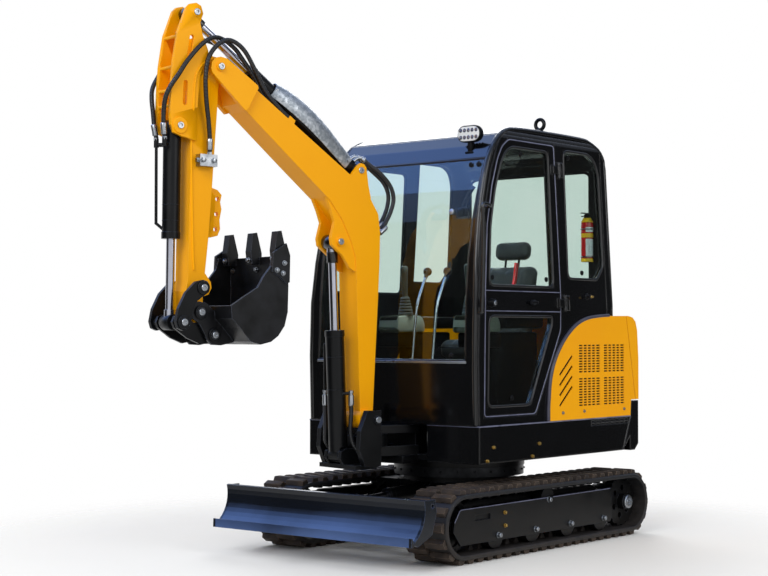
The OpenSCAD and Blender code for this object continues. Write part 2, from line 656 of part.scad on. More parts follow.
boom_side = [[905, 2404], [585, 2144], [358, 1963], [272, 1859], [211, 1743], [179, 1650], [172, 1402], [160, 1063],
  [150, 781], [140, 725], [90, 735], [62, 790], [43, 1119], [26, 1404], [13, 1650], [10, 1800], [23, 1899],
  [86, 1996], [217, 2108], [526, 2313], [839, 2522], [990, 2612], [960, 2440]];
tip_side = [[1128, 2582], [1138, 2605], [1133, 2640], [1112, 2664], [1081, 2672], [1040, 2666], [849, 2543],
  [844, 2529], [911, 2410], [928, 2404]];
lift_lug = [[377, 1975], [347, 1914], [322, 1846], [347, 1757], [340, 1718], [304, 1690], [267, 1662],
  [218, 1594], [150, 1560], [150, 1800], [330, 2000]];
crowd_lug = [[212, 2106], [162, 2165], [142, 2179], [122, 2174], [106, 2154], [93, 2059], [74, 1985], [140, 1980]];
module hose_end(route, l, r) let(q = run_of(route), n = len(q) - 1, d = unit(q[n] - q[n - 1]), a = q[n] + seam * d,
  b = q[n] + l * d) stick([a[0], -a[1], a[2]], [b[0], -b[1], b[2]], r);
module boom() color("#f2a90c") front_end() difference() {
  union() {
    side(-boom_half, boom_half) polygon(boom_side);
    side(-foot_half, foot_half) translate(foot_p) circle(51);
    both() side(boom_half - 3, tip_out) polygon(tip_side);
    both() side(lug_in, lug_in + 22) polygon(lift_lug);
    both() side(boom_half - 24, boom_half) polygon(crowd_lug);
    both() rod_x(lift_eye, lug_in - 0, lug_in + 34, pin_r);
    for (t = [[28, 78], [-78, -52]]) side(t[0], t[1])
      polygon([[600, 2355], [640, 2381], [636, 2386], [623.8, 2404.3], [588, 2380]]);
    rod_x(crowd_foot, -boom_half, boom_half, pin_r);
    for (p = [knee_route_a, knee_route_b]) hose_end(p, 36, 15);
    rod_x(tip_p, -tip_out - 10, tip_out + 10, pin_r);
  }
  rod_x(foot_p, -foot_half - 5, foot_half + 5, pin_r + fit);
  side(-tip_in, tip_in) difference() {
    polygon([[1010, 2300], [985, 2480], [1010, 2640], [1040, 2800], [1300, 2800], [1300, 2300]]);
    translate(tip_p) circle(pin_r);
  }
}

lift_len = dist(lift_foot, lift_eye);
module boom_barrel() color("#17181a") front_end() {
  cyl_barrel(lift_foot, lift_eye, lift_r, 690, 110, 40, lug_in - 6, pin_r + fit);
  stick([40, -250, 900], [80, -213, 904], 9);
  stick([80, -213, 904], [80, -213, 873], 9);
  translate([80, -213, 904]) sphere(r = 9.6);
  stick([-30, -262, 1170], [-72, -282, 1170], 8);
  stick([-72, -282, 1170], [-72, -280, 873], 8);
  translate([-72, -282, 1170]) sphere(r = 8.6);
}
module boom_rod() color("#c9ccd0") front_end() cyl_rod(lift_foot, lift_eye, 500, 42, lug_in - 8);

crowd_len = dist(crowd_foot, crowd_eye);
module arm_barrel() color("#17181a") front_end()
  cyl_barrel(crowd_foot, crowd_eye, crowd_r, 861, 90, 34, boom_half - 24 - 6, pin_r + fit);
module arm_rod() color("#c9ccd0") front_end() cyl_rod(crowd_foot, crowd_eye, 520, 36, 40);
module arm_guard() color("#aab0b5") front_end() along(crowd_foot, crowd_eye) difference() {
  rotate_extrude() polygon([[crowd_r + seam, 70], [crowd_r + 8, 70], [crowd_r + 13, 200], [crowd_r + 16, 340],
    [crowd_r + 13, 500], [crowd_r + 6, 690], [crowd_r + seam, 690]]);
  box(-100, 100, -100, -20, 0, 900);
}

arm_side = [[1174, 2776], [1141, 2700], [1103, 2676], [1060, 2672], [1032, 2640], [1030, 2600], [1056, 2560],
  [1072, 2500], [1075, 2413], [1096, 2132], [1106, 1991], [1127, 1731], [1148, 1546], [1112, 1500], [1107, 1470],
  [1125, 1436], [1160, 1424], [1160, 1330], [1175, 1298], [1204, 1290], [1235, 1298], [1254, 1330], [1262, 1450],
  [1250, 1508], [1245, 1754], [1234, 2215], [1232, 2400], [1240, 2600]];
cheek_side = [[1190, 2839], [1174, 2776], [1141, 2700], [1140, 2600], [1190, 2560], [1205, 2400], [1210, 2225],
  [1265, 2238], [1300, 2245], [1345, 2260], [1362, 2300], [1366, 2350], [1361, 2496], [1351, 2616], [1325, 2774],
  [1273, 2909], [1250, 2932], [1214, 2941], [1185, 2928], [1172, 2890]];
module arm() color("#f2a90c") front_end() difference() {
  union() {
    side(-arm_half, arm_half) polygon(arm_side);
    side(-cheek_out, cheek_out) translate(tip_p) circle(50);
    both() side(arm_half - 5, cheek_out) polygon(cheek_side);
    rod_x(curl_foot, -cheek_out, cheek_out, pin_r);
    both() rod_x(crowd_eye, cheek_out - 20, cheek_out + 8, pin_r);
    for (p = [[1318, 2760], [1340, 2600], [1348, 2480], [1350, 2400]]) rod_x(p, -cheek_out + 2, cheek_out - 2, 9);
    side(-12, 12) difference() {
      polygon([[1130, 2000], [1090, 2000], [1040, 1985], [1015, 1960], [1024, 1922], [1016, 1885], [1028, 1829],
        [1024, 1780], [1040, 1745], [1080, 1735], [1140, 1738]]);
      for (p = [[1042, 1938], [1048, 1858], [1054, 1778]]) translate(p) circle(12);
    }
  }
  rod_x(tip_p, -200, 200, pin_r + fit);
  rod_x(link_p, -200, 200, pin_r + fit);
  rod_x(bucket_p, -200, 200, pin_r + fit);
}
module hose_block() color("#b9bec3") front_end() side(arm_half + seam, arm_half + 44)
  polygon([[1101, 2096], [1205, 2096], [1205, 2158], [1101, 2158]]);

curl_len = dist(curl_foot, curl_eye);
port_a = [40, 1378];
port_c = [-46, 1376];
module bucket_barrel() color("#17181a") front_end() {
  for (p = [port_a, port_c]) {
    translate([p[0], -p[1], 2190]) cylinder(r = 13, h = 44);
    stick([p[0] * 0.45, -1310 - (p[1] - 1310) * 0.45, 2204], [p[0], -p[1], 2204], 11);
  }
  stick([port_c[0], -port_c[1], 2196], [port_c[0], -port_c[1], 1800], 8);
  stick([port_c[0], -port_c[1], 1800], [-26, -1336, 1762], 8);
  translate([port_c[0], -port_c[1], 1800]) sphere(r = 8.6);
  cyl_barrel(curl_foot, curl_eye, curl_r, 579, 90, 38, arm_half - 6 - 5, pin_r + fit);
}
module bucket_rod() color("#c9ccd0") front_end() cyl_rod(curl_foot, curl_eye, 470, 40, 40);

link_side = [[1205, 1508], [1180, 1500], [1165, 1475], [1172, 1445], [1195, 1430], [1240, 1400], [1268, 1345],
  [1275, 1290], [1295, 1255], [1325, 1248], [1355, 1260], [1366, 1295], [1352, 1360], [1310, 1440], [1250, 1498]];
module guide_links() color("#17181a") front_end() {
  both() side(link_in, link_out) polygon(link_side);
  rod_x(link_p, -link_out - 10, link_out + 10, pin_r);
  both() rod_x(curl_eye, blink_in + 1, link_out + 10, pin_r);
}
blink_side = [[1345, 1262], [1358, 1291], [1345, 1322], [1321, 1331], [1230, 1290], [1150, 1254], [1122, 1257],
  [1099, 1247], [1091, 1225], [1106, 1208], [1130, 1195], [1200, 1182], [1270, 1210]];
module bucket_link() color("#17181a") front_end() difference() {
  both() side(blink_in, blink_out) polygon(blink_side);
  rod_x(curl_eye, -200, 200, pin_r + fit);
  rod_x(bucket_link_p, -200, 200, pin_r - 6);
}

bucket_out = [[862, 1640], [772, 1640], [768, 1480], [772, 1345], [792, 1272], [832, 1220], [877, 1190], [941, 1176],
  [1004, 1192], [1066, 1262], [1116, 1310], [1122, 1374], [1054, 1416], [960, 1470], [922, 1529], [878, 1580]];
bucket_in = [[880, 1700], [786, 1700], [782, 1480], [786, 1349], [804, 1280], [841, 1231], [882, 1203], [939, 1190],
  [996, 1205], [1056, 1272], [1104, 1316], [1112, 1366], [1140, 1420], [960, 1800]];
ear_side = [[1261, 1350], [1250, 1380], [1215, 1398], [1170, 1390], [1100, 1330], [1040, 1250], [1000, 1188],
  [1080, 1172], [1137, 1175], [1165, 1200], [1185, 1240], [1215, 1290], [1250, 1310]];
module tooth(t) {
  side(t - 26, t + 26) polygon([[832, 1600], [840, 1668], [826, 1766], [800, 1770], [770, 1660], [772, 1600]]);
}
module bucket() color("#161719") front_end() difference() {
  union() {
    difference() {
      side(-bucket_half, bucket_half) polygon(bucket_out);
      side(-bucket_half + 16, bucket_half - 16) polygon(bucket_in);
    }
    for (t = [-228, 0, 228]) tooth(t);
    both() side(bucket_half - 4, bucket_half + 12)
      polygon([[788, 1703], [765, 1640], [768, 1500], [788, 1492], [830, 1530], [878, 1556], [872, 1652]]);
    both() side(ear_in, ear_out) polygon(ear_side);
    rod_x(bucket_p, -ear_out - 14, ear_out + 14, pin_r);
    both() rod_x(bucket_link_p, ear_in, ear_out + 14, pin_r);
  }
  both() side(-ear_in + 0, ear_in) difference() {
    translate(bucket_link_p) circle(64);
    translate([900, 1000]) square([170, 500]);
  }
}

// Hoses: each route is a list of points (t, s, z) chosen by hand
hose_r = 12;
arm_route_a = [[40, 1378, 2236], [44, 1386, 2300], [50, 1389, 2370], [67, 1389, 2435], [86, 1372, 2492], [97, 1335, 2550],
  [99, 1272, 2641], [96, 1178, 2737], [74, 1080, 2776], [54, 972, 2740], [54, 908, 2675], [55, 838, 2590],
  [44, 772, 2496], [40, 690, 2439], [40, 630, 2398]];
arm_route_b = [[87, 1137, 2159], [88, 1137, 2240], [92, 1147, 2330], [102, 1167, 2438], [105, 1174, 2548],
  [102, 1157, 2650], [98, 1108, 2722], [92, 1040, 2764], [90, 979, 2757], [88, 917, 2714], [80, 847, 2620],
  [70, 777, 2522], [66, 690, 2442], [66, 630, 2398]];
arm_route_c = [[-46, 1376, 2236], [-50, 1386, 2300], [-56, 1390, 2370], [-70, 1390, 2440], [-90, 1374, 2500],
  [-97, 1340, 2560], [-99, 1272, 2660], [-97, 1178, 2752], [-76, 1082, 2782], [-64, 996, 2762], [-60, 910, 2694],
  [-64, 863, 2628], [-66, 790, 2545], [-65, 700, 2449], [-65, 630, 2398]];
knee_route_a = [[-12, 153, 2206], [-14, 115, 2226], [-4, 70, 2196], [14, 14, 2145], [20, -60, 2086], [20, -95, 2020],
  [20, -88, 1950], [20, -60, 1886], [20, -22, 1832], [20, 3, 1812]];
knee_route_b = [[26, 153, 2202], [30, 105, 2214], [38, 55, 2178], [50, -13, 2134], [50, -84, 2068], [50, -110, 1998],
  [50, -92, 1926], [50, -54, 1858], [50, -20, 1806], [50, 2, 1788]];
lift_route_a = [[80, 213, 872], [80, 212, 789], [80, 216, 716], [82, 210, 650], [92, 188, 598], [104, 150, 566],
  [108, 115, 558]];
lift_route_b = [[-72, 280, 872], [-72, 278, 779], [-74, 276, 700], [-88, 262, 632], [-98, 218, 588], [-104, 160, 563],
  [-106, 115, 558]];
function mix(p, i, u) = let(n = len(p) - 1, a = p[max(i - 1, 0)], b = p[i], c = p[min(i + 1, n)], d = p[min(i + 2, n)])
  0.5 * (2 * b + u * (c - a) + u * u * (2 * a - 5 * b + 4 * c - d) + u * u * u * (3 * b - a - 3 * c + d));
function run_of(p) = concat([for (i = [0 : len(p) - 2]) for (u = [0, 0.5]) mix(p, i, u)], [p[len(p) - 1]]);
function unit(v) = v / norm(v);
module tube(route, r, sides) {
  q = [for (v = run_of(route)) [v[0], -v[1], v[2]]];
  n = len(q);
  dirs = [for (i = [0 : n - 1]) unit(q[min(i + 1, n - 1)] - q[max(i - 1, 0)])];
  pts = [for (i = [0 : n - 1]) let(a = unit(cross(dirs[i], [1, 0, 0])), b = cross(dirs[i], a))
    for (k = [0 : sides - 1]) q[i] + r * (cos(360 * k / sides) * a + sin(360 * k / sides) * b)];
  polyhedron(pts, concat([[for (k = [sides - 1 : -1 : 0]) k]], [[for (k = [0 : sides - 1]) (n - 1) * sides + k]],
    [for (i = [0 : n - 2]) for (k = [0 : sides - 1]) let(m = (k + 1) % sides)
      [i * sides + k, i * sides + m, (i + 1) * sides + m, (i + 1) * sides + k]]));
}
module arm_hoses() color("#101112") front_end() {
  tube(arm_route_a, hose_r, 8);
  tube(arm_route_b, hose_r, 8);
  tube(arm_route_c, hose_r, 8);
}
module boom_hoses() color("#101112") front_end() {
  tube(knee_route_a, hose_r, 8);
  tube(knee_route_b, hose_r, 8);
}
module lift_hoses() color("#101112") front_end() {
  tube(lift_route_a, hose_r, 8);
  tube(lift_route_b, hose_r, 8);
}

carbody();
slew_bearing();
track_frame_left();
track_frame_right();
track_left();
track_right();
running_gear_left();
running_gear_right();
blade();
blade_barrel();
blade_rod();
upper_frame();
skirts();
counterweight();
hood_left();
hood_right();
hood_rear();
grilles();
engine();
tail_lamps();
cab_front();
cab_left();
cab_right();
cab_rear();
cab_roof();
cab_floor();
cab_glass();
door_frame();
door_glass();
door_latch();
seat();
controls();
travel_levers();
work_lamp();
lifting_eyes();
grab_rail();
extinguisher();
swing_post();
boom();
boom_barrel();
boom_rod();
arm_barrel();
arm_guard();
arm_rod();
arm();
hose_block();
bucket_barrel();
bucket_rod();
guide_links();
bucket_link();
bucket();
arm_hoses();
boom_hoses();
lift_hoses();
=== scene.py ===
import math

import bmesh
import bpy
from mathutils import Matrix, Vector


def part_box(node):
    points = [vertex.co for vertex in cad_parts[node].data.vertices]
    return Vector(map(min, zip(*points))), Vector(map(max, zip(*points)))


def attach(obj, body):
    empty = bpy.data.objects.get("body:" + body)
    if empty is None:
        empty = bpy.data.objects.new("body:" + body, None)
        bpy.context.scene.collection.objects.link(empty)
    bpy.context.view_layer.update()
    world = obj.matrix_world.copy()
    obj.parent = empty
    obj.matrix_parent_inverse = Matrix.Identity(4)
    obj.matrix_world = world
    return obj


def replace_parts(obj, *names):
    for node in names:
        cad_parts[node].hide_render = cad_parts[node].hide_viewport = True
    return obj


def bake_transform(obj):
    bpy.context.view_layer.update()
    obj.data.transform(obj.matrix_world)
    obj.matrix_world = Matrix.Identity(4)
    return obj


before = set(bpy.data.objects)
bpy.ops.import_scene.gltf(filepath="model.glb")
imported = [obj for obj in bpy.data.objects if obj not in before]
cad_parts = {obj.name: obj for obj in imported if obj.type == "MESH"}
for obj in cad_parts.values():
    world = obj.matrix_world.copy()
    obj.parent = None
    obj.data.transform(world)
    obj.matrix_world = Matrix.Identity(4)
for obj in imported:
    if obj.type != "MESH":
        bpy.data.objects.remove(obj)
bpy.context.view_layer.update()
scene = bpy.context.scene
scene.view_settings.view_transform = "Standard"
print("frame loaded,", len(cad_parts), "nodes")

# Two ways to write a place, in millimetres as on the drawing: on the house, or on the swung front gear
swingRest = math.radians(-12)
ahead = Vector((math.sin(swingRest), -math.cos(swingRest), 0))
leftward = Vector((math.cos(swingRest), math.sin(swingRest), 0))
swingPin = Vector((0, -0.26, 0))
slewAxis = Vector((0, 0.54, 0))
upward = Vector((0, 0, 1))
outward = Vector((1, 0, 0))
bothSides = (1, -1)
sideNames = (("Left", 1), ("Right", -1))


def onHouse(x, y, z):
    return slewAxis + Vector((x, y, z)) / 1000


def onGear(t, s, z):
    return swingPin + (leftward * t + ahead * s) / 1000 + Vector((0, 0, z / 1000))


# Camera, as the photograph was taken: low, a long lens, from the machine's front left
view = {"place": (5.918, -7.275, 1.245), "aim": (-0.63929, 0.76851, 0.026545), "lens": 76.32, "sensor": 36}
cameraData = bpy.data.cameras.new("camera")
cameraData.lens = view["lens"]
cameraData.sensor_width = view["sensor"]
camera = bpy.data.objects.new("camera", cameraData)
camera.location = view["place"]
camera.rotation_euler = Vector(view["aim"]).to_track_quat("-Z", "Y").to_euler()
scene.collection.objects.link(camera)
scene.camera = camera


def linear(code):
    parts = [int(code[i:i + 2], 16) / 255 for i in (1, 3, 5)]
    return [c / 12.92 if c <= 0.04045 else ((c + 0.055) / 1.055) ** 2.4 for c in parts] + [1]


# One node with its settings, its links or values and the stops of its ramp
def addNode(tree, kind, links=None, stops=None, **settings):
    node = tree.nodes.new(kind)
    for key, value in settings.items():
        setattr(node, key, value)
    for key, value in (links or {}).items():
        if isinstance(value, bpy.types.NodeSocket):
            tree.links.new(value, node.inputs[key])
        else:
            node.inputs[key].default_value = value
    if stops:
        for element, (spot, code) in zip(node.color_ramp.elements, stops):
            element.position = spot
            element.color = linear(code)
    return node


def newFinish(name, **levels):
    finish = bpy.data.materials.new(name)
    finish.use_nodes = True
    tree = finish.node_tree
    shader = tree.nodes["Principled BSDF"]
    for key, value in levels.items():
        shader.inputs[key.replace("_", " ")].default_value = value
    place = addNode(tree, "ShaderNodeTexCoord").outputs["Object"]
    return finish, tree, shader, place


# Edges made paler in patches, where the rounded normal leaves the flat one: worn rubber on the tracks, a
# painted highlight on the yellow enamel, and partly real wear, partly a painted highlight on the blade,
# bucket and satin black
def edgeWearAndHighlight(tree, look, colour, patches, soft):
    flat = addNode(tree, "ShaderNodeNewGeometry").outputs["Normal"]
    bent = addNode(tree, "ShaderNodeVectorMath", {0: soft, 1: flat}, operation="DOT_PRODUCT")
    edge = addNode(tree, "ShaderNodeMapRange", {
        "Value": bent.outputs["Value"], "From Min": 1.0, "From Max": 0.8})
    patchyEdge = addNode(tree, "ShaderNodeMath", {0: edge.outputs["Result"], 1: patches}, operation="MULTIPLY")
    wearAndHighlightMask = addNode(tree, "ShaderNodeMapRange", {
        "Value": patchyEdge.outputs["Value"], "From Min": 0.3, "From Max": 0.5, "To Max": look["wearAndHighlight"]})
    wornAndHighlight = addNode(tree, "ShaderNodeMix", {
        0: wearAndHighlightMask.outputs["Result"], 6: colour, 7: linear(look["wornAndHighlight"])}, data_type="RGBA")
    return wornAndHighlight.outputs[2]


# A tone laid on from the ground up, where asked only between two ends and in front of a line: real dust on
# the satin black and the rubber, a painted sky reflection on the blade's front face
def layDustAndReflection(tree, look, colour, patches, place):
    spot = addNode(tree, "ShaderNodeSeparateXYZ", {"Vector": place}).outputs
    low = addNode(tree, "ShaderNodeMapRange", {
        "Value": spot["Z"], "From Min": look["dustAndReflectionTop"], "From Max": 0.0})
    patchy = addNode(tree, "ShaderNodeMath", {0: low.outputs["Result"], 1: patches}, operation="MULTIPLY")
    amount = addNode(tree, "ShaderNodeMapRange", {
        "Value": patchy.outputs["Value"], "From Min": 0.12, "From Max": 0.7,
        "To Max": look["dustAndReflectionShare"]}).outputs["Result"]
    if "ends" in look:
        reach = addNode(tree, "ShaderNodeMath", {0: spot["X"]}, operation="ABSOLUTE").outputs["Value"]
        for value, limit in ((reach, look["ends"]), (spot["Y"], look["behind"])):
            inside = addNode(tree, "ShaderNodeMath", {0: value, 1: limit}, operation="LESS_THAN")
            amount = addNode(tree, "ShaderNodeMath", {
                0: amount, 1: inside.outputs["Value"]}, operation="MULTIPLY").outputs["Value"]
    dustAndReflectionTone = addNode(tree, "ShaderNodeMix", {
        0: amount, 6: colour, 7: linear(look["dustAndReflection"])}, data_type="RGBA")
    return dustAndReflectionTone.outputs[2]


# A coated or moulded surface: two close tones in patches, a fine grain, soft edges, and if asked pale edges
# and a tone from the ground up (worn rubber and dust on some finishes, a painted highlight and a painted
# reflection on others, as noted at each finish)
def makeSurface(name, look):
    finish, tree, shader, place = newFinish(name)
    patches, grain = (addNode(tree, "ShaderNodeTexNoise", {
        "Vector": place, "Scale": 1000 / look[size], "Detail": detail}).outputs["Fac"]
        for size, detail in (("patch", 5.0), ("grain", 3.0)))
    soft = addNode(tree, "ShaderNodeBevel", {"Radius": look["edge"] / 1000}, samples=4).outputs["Normal"]
    stops = [(0.35, look["base"]), (0.7, look["tint"])]
    colour = addNode(tree, "ShaderNodeValToRGB", {"Fac": patches}, stops=stops).outputs["Color"]
    if "wornAndHighlight" in look:
        colour = edgeWearAndHighlight(tree, look, colour, patches, soft)
    if "dustAndReflection" in look:
        colour = layDustAndReflection(tree, look, colour, patches, place)
    low, high = look["rough"]
    rough = addNode(tree, "ShaderNodeMapRange", {
        "Value": patches, "From Min": 0.3, "From Max": 0.75, "To Min": low, "To Max": high})
    bump = addNode(tree, "ShaderNodeBump", {
        "Height": grain, "Strength": look["bump"], "Distance": 0.001, "Normal": soft})
    tree.links.new(colour, shader.inputs["Base Color"])
    tree.links.new(rough.outputs["Result"], shader.inputs["Roughness"])
    tree.links.new(bump.outputs["Normal"], shader.inputs["Normal"])
    shader.inputs["Metallic"].default_value = look.get("metal", 0)
    shader.inputs["Specular IOR Level"].default_value = look.get("shine", 0.5)
    shader.inputs["Coat Weight"].default_value = look.get("coat", 0)
    shader.inputs["Coat Roughness"].default_value = 0.08
    return finish


surfaces = {
    # Two-pack enamel sprayed on plate: warm yellow, soft gloss, a faint orange-peel skin; its edges are
    # painted pale yellow as a painted highlight
    "yellowEnamel": {"base": "#FFB000", "tint": "#FCAA00", "patch": 420, "grain": 5, "edge": 4,
        "rough": (0.34, 0.44), "bump": 0.02, "shine": 0.14, "wornAndHighlight": "#FFCB52", "wearAndHighlight": 0.6},
    # Black enamel on pressed panels: deep and wet-looking, mirrors the studio softly
    "blackEnamel": {"base": "#08090B", "tint": "#0C0D10", "patch": 500, "grain": 6, "edge": 14,
        "rough": (0.12, 0.2), "bump": 0.012, "coat": 0.2},
    # Satin black on castings and weldments: duller, with a little grey dust low down; its blue-grey edges are
    # partly worn paint and partly a painted highlight
    "satinBlack": {"base": "#08090B", "tint": "#0D0E10", "patch": 180, "grain": 4, "edge": 4,
        "rough": (0.28, 0.42), "bump": 0.05, "shine": 0.2, "wornAndHighlight": "#565E6E", "wearAndHighlight": 0.5,
        "dustAndReflection": "#6A6258", "dustAndReflectionTop": 0.5, "dustAndReflectionShare": 0.08},
    # Blade enamel: black end plates and top; the front face turns blue towards the cutting edge as a painted
    # sky reflection, and its pale blue edges are partly scuffs and partly a painted highlight
    "bladeEnamel": {"base": "#0A0D15", "tint": "#10161F", "patch": 900, "grain": 5, "edge": 3,
        "rough": (0.2, 0.3), "bump": 0.02, "shine": 0.3, "coat": 0.1, "wornAndHighlight": "#6C7FA8", "wearAndHighlight": 0.8,
        "dustAndReflection": "#6F92DA", "dustAndReflectionTop": 0.36, "dustAndReflectionShare": 1.0, "ends": 0.7, "behind": -0.678},
    # Painted digging steel: scratched black; its blue-grey corners are partly bare metal and partly a painted
    # highlight
    "bucketSteel": {"base": "#0A0B0D", "tint": "#15161A", "patch": 90, "grain": 3, "edge": 4,
        "rough": (0.3, 0.5), "bump": 0.09, "shine": 0.28, "wornAndHighlight": "#747C8E", "wearAndHighlight": 0.8},
    # Moulded natural rubber with cord inside: matt and dark on the belt
    "trackRubber": {"base": "#1A1A1C", "tint": "#242426", "patch": 60, "grain": 4, "edge": 4,
        "rough": (0.5, 0.7), "bump": 0.1, "shine": 0.3, "wornAndHighlight": "#4A4644", "wearAndHighlight": 0.5,
        "dustAndReflection": "#6B5D4F", "dustAndReflectionTop": 0.45, "dustAndReflectionShare": 0.2},
    # The same rubber on the lugs: brown with soil, rubbed pale along its edges
    "lugRubber": {"base": "#302A27", "tint": "#463C35", "patch": 60, "grain": 4, "edge": 5,
        "rough": (0.6, 0.85), "bump": 0.12, "shine": 0.25, "wornAndHighlight": "#94806C", "wearAndHighlight": 0.9,
        "dustAndReflection": "#6E6054", "dustAndReflectionTop": 0.5, "dustAndReflectionShare": 0.15},
    # Zinc-plated fasteners: grey silver, slightly cloudy
    "zincPlate": {"base": "#A9ADB2", "tint": "#8F9499", "patch": 45, "grain": 2, "edge": 1,
        "rough": (0.26, 0.42), "bump": 0.03, "metal": 1},
    # Passivated zinc: the same bolts with a brassy film
    "yellowZinc": {"base": "#C9A860", "tint": "#A98A48", "patch": 12, "grain": 2, "edge": 1,
        "rough": (0.28, 0.42), "bump": 0.03, "metal": 1},
    # Hard-chromed rod, ground and polished: a soft mirror under a film of oil
    "hardChrome": {"base": "#BDBFCA", "tint": "#ACAEBA", "patch": 140, "grain": 3, "edge": 1.5,
        "rough": (0.16, 0.24), "bump": 0.008, "metal": 1},
    # Turned bearing steel with a thin oil film
    "bearingSteel": {"base": "#26282B", "tint": "#1B1C1F", "patch": 40, "grain": 3, "edge": 2,
        "rough": (0.3, 0.45), "bump": 0.03, "metal": 0.7},
    # Grained ABS of the control pods, sage grey
    "sageAbs": {"base": "#8E968B", "tint": "#858D83", "patch": 120, "grain": 2.5, "edge": 6,
        "rough": (0.45, 0.58), "bump": 0.08},
    # Black polypropylene mouldings: dull, fine grain
    "blackPlastic": {"base": "#0A0B0D", "tint": "#0F1012", "patch": 90, "grain": 2.5, "edge": 3,
        "rough": (0.36, 0.5), "bump": 0.07, "shine": 0.12},
    # Rubber of the joystick grips and their bellows, grey with handling
    "gripRubber": {"base": "#39403F", "tint": "#444B4A", "patch": 60, "grain": 3, "edge": 3,
        "rough": (0.35, 0.5), "bump": 0.05, "shine": 0.4},
    # Extruded edge trim of the hood: grey rubber with a violet cast
    "trimRubber": {"base": "#3E3E4C", "tint": "#494958", "patch": 60, "grain": 3, "edge": 2,
        "rough": (0.3, 0.42), "bump": 0.03},
    # Pale blue-grey tubes along panel edges: a painted highlight, standing for the light that the folded
    # edges catch
    "paintedHighlightBead": {"base": "#5F627A", "tint": "#747893", "patch": 120, "grain": 3, "edge": 1,
        "rough": (0.24, 0.34), "bump": 0.02},
    # Extruded rubber seal: matt black
    "sealRubber": {"base": "#0D0D0E", "tint": "#141415", "patch": 60, "grain": 3, "edge": 1.5,
        "rough": (0.28, 0.4), "bump": 0.03},
    # Extinguisher bottle in signal red
    "redEnamel": {"base": "#C4141A", "tint": "#B81117", "patch": 90, "grain": 4, "edge": 2,
        "rough": (0.18, 0.26), "bump": 0.015, "coat": 0.3},
    # Yellow paper sleeve round the bottle, left blank
    "yellowSleeve": {"base": "#F3C51C", "tint": "#EDBD14", "patch": 60, "grain": 3, "edge": 1,
        "rough": (0.35, 0.45), "bump": 0.02},
    # Red acrylic of the tail lamps
    "redAcrylic": {"base": "#9E140F", "tint": "#B21A12", "patch": 20, "grain": 4, "edge": 2,
        "rough": (0.1, 0.16), "bump": 0.03, "coat": 0.4},
    # White board behind the lamp's diodes, and blank white paper
    "whiteReflector": {"base": "#E4E7EA", "tint": "#D6DADF", "patch": 20, "grain": 4, "edge": 1,
        "rough": (0.25, 0.35), "bump": 0.02},
    # Cast engine block under the hood, only glimpsed
    "engineGrey": {"base": "#33363A", "tint": "#26282B", "patch": 90, "grain": 6, "edge": 6,
        "rough": (0.5, 0.7), "bump": 0.12},
}
finishes = {name: makeSurface(name, look) for name, look in surfaces.items()}


# Tempered float glass, 6 mm, pale green in its thickness
def makeGlass():
    finish, tree, shader, place = newFinish("floatGlass", Transmission_Weight=1, IOR=1.5, Roughness=0.0)
    cloud = addNode(tree, "ShaderNodeTexNoise", {"Vector": place, "Scale": 1000 / 300, "Detail": 4.0})
    film = addNode(tree, "ShaderNodeValToRGB", {"Fac": cloud.outputs["Fac"]},
        stops=[(0.3, "#E2F0EA"), (0.8, "#E8F3EE")])
    tree.links.new(film.outputs["Color"], shader.inputs["Base Color"])
    return finish


# Hot-dip galvanised sheet: zinc crystals some 14 mm across, mottled bright and dull
def makeGalvanised():
    finish, tree, shader, place = newFinish("galvanisedSheet", Metallic=0.85)
    stir = addNode(tree, "ShaderNodeTexNoise", {
        "Vector": place, "Scale": 1000 / 60, "Detail": 4.0}).outputs["Fac"]
    crystals = addNode(tree, "ShaderNodeTexVoronoi", {"Vector": place, "Scale": 1000 / 14})
    grey = addNode(tree, "ShaderNodeSeparateColor", {"Color": crystals.outputs["Color"]})
    both = addNode(tree, "ShaderNodeMath", {
        0: grey.outputs["Red"], 1: stir}, operation="MULTIPLY").outputs["Value"]
    tone = addNode(tree, "ShaderNodeValToRGB", {"Fac": both}, stops=[(0.1, "#8F969C"), (0.5, "#BCC1C6")])
    rough = addNode(tree, "ShaderNodeMapRange", {"Value": both, "To Min": 0.5, "To Max": 0.3})
    soft = addNode(tree, "ShaderNodeBevel", {"Radius": 0.003}, samples=4)
    bump = addNode(tree, "ShaderNodeBump", {
        "Height": stir, "Strength": 0.15, "Distance": 0.002, "Normal": soft.outputs["Normal"]})
    tree.links.new(tone.outputs["Color"], shader.inputs["Base Color"])
    tree.links.new(rough.outputs["Result"], shader.inputs["Roughness"])
    tree.links.new(bump.outputs["Normal"], shader.inputs["Normal"])
    return finish


# Synthetic leather on foam: grain drawn coarse enough to show, in 5 mm cells, with a dull sheen
def makeLeather():
    finish, tree, shader, place = newFinish("seatLeather", Roughness=0.42, Sheen_Weight=0.1)
    cells = addNode(tree, "ShaderNodeTexVoronoi", {
        "Vector": place, "Scale": 1000 / 5}, feature="DISTANCE_TO_EDGE")
    seam = addNode(tree, "ShaderNodeMapRange", {"Value": cells.outputs["Distance"], "From Max": 0.12})
    cloud = addNode(tree, "ShaderNodeTexNoise", {"Vector": place, "Scale": 1000 / 120, "Detail": 4.0})
    tone = addNode(tree, "ShaderNodeValToRGB", {"Fac": cloud.outputs["Fac"]},
        stops=[(0.35, "#24282A"), (0.7, "#313638")])
    bump = addNode(tree, "ShaderNodeBump", {
        "Height": seam.outputs["Result"], "Strength": 0.25, "Distance": 0.001})
    tree.links.new(tone.outputs["Color"], shader.inputs["Base Color"])
    tree.links.new(bump.outputs["Normal"], shader.inputs["Normal"])
    return finish


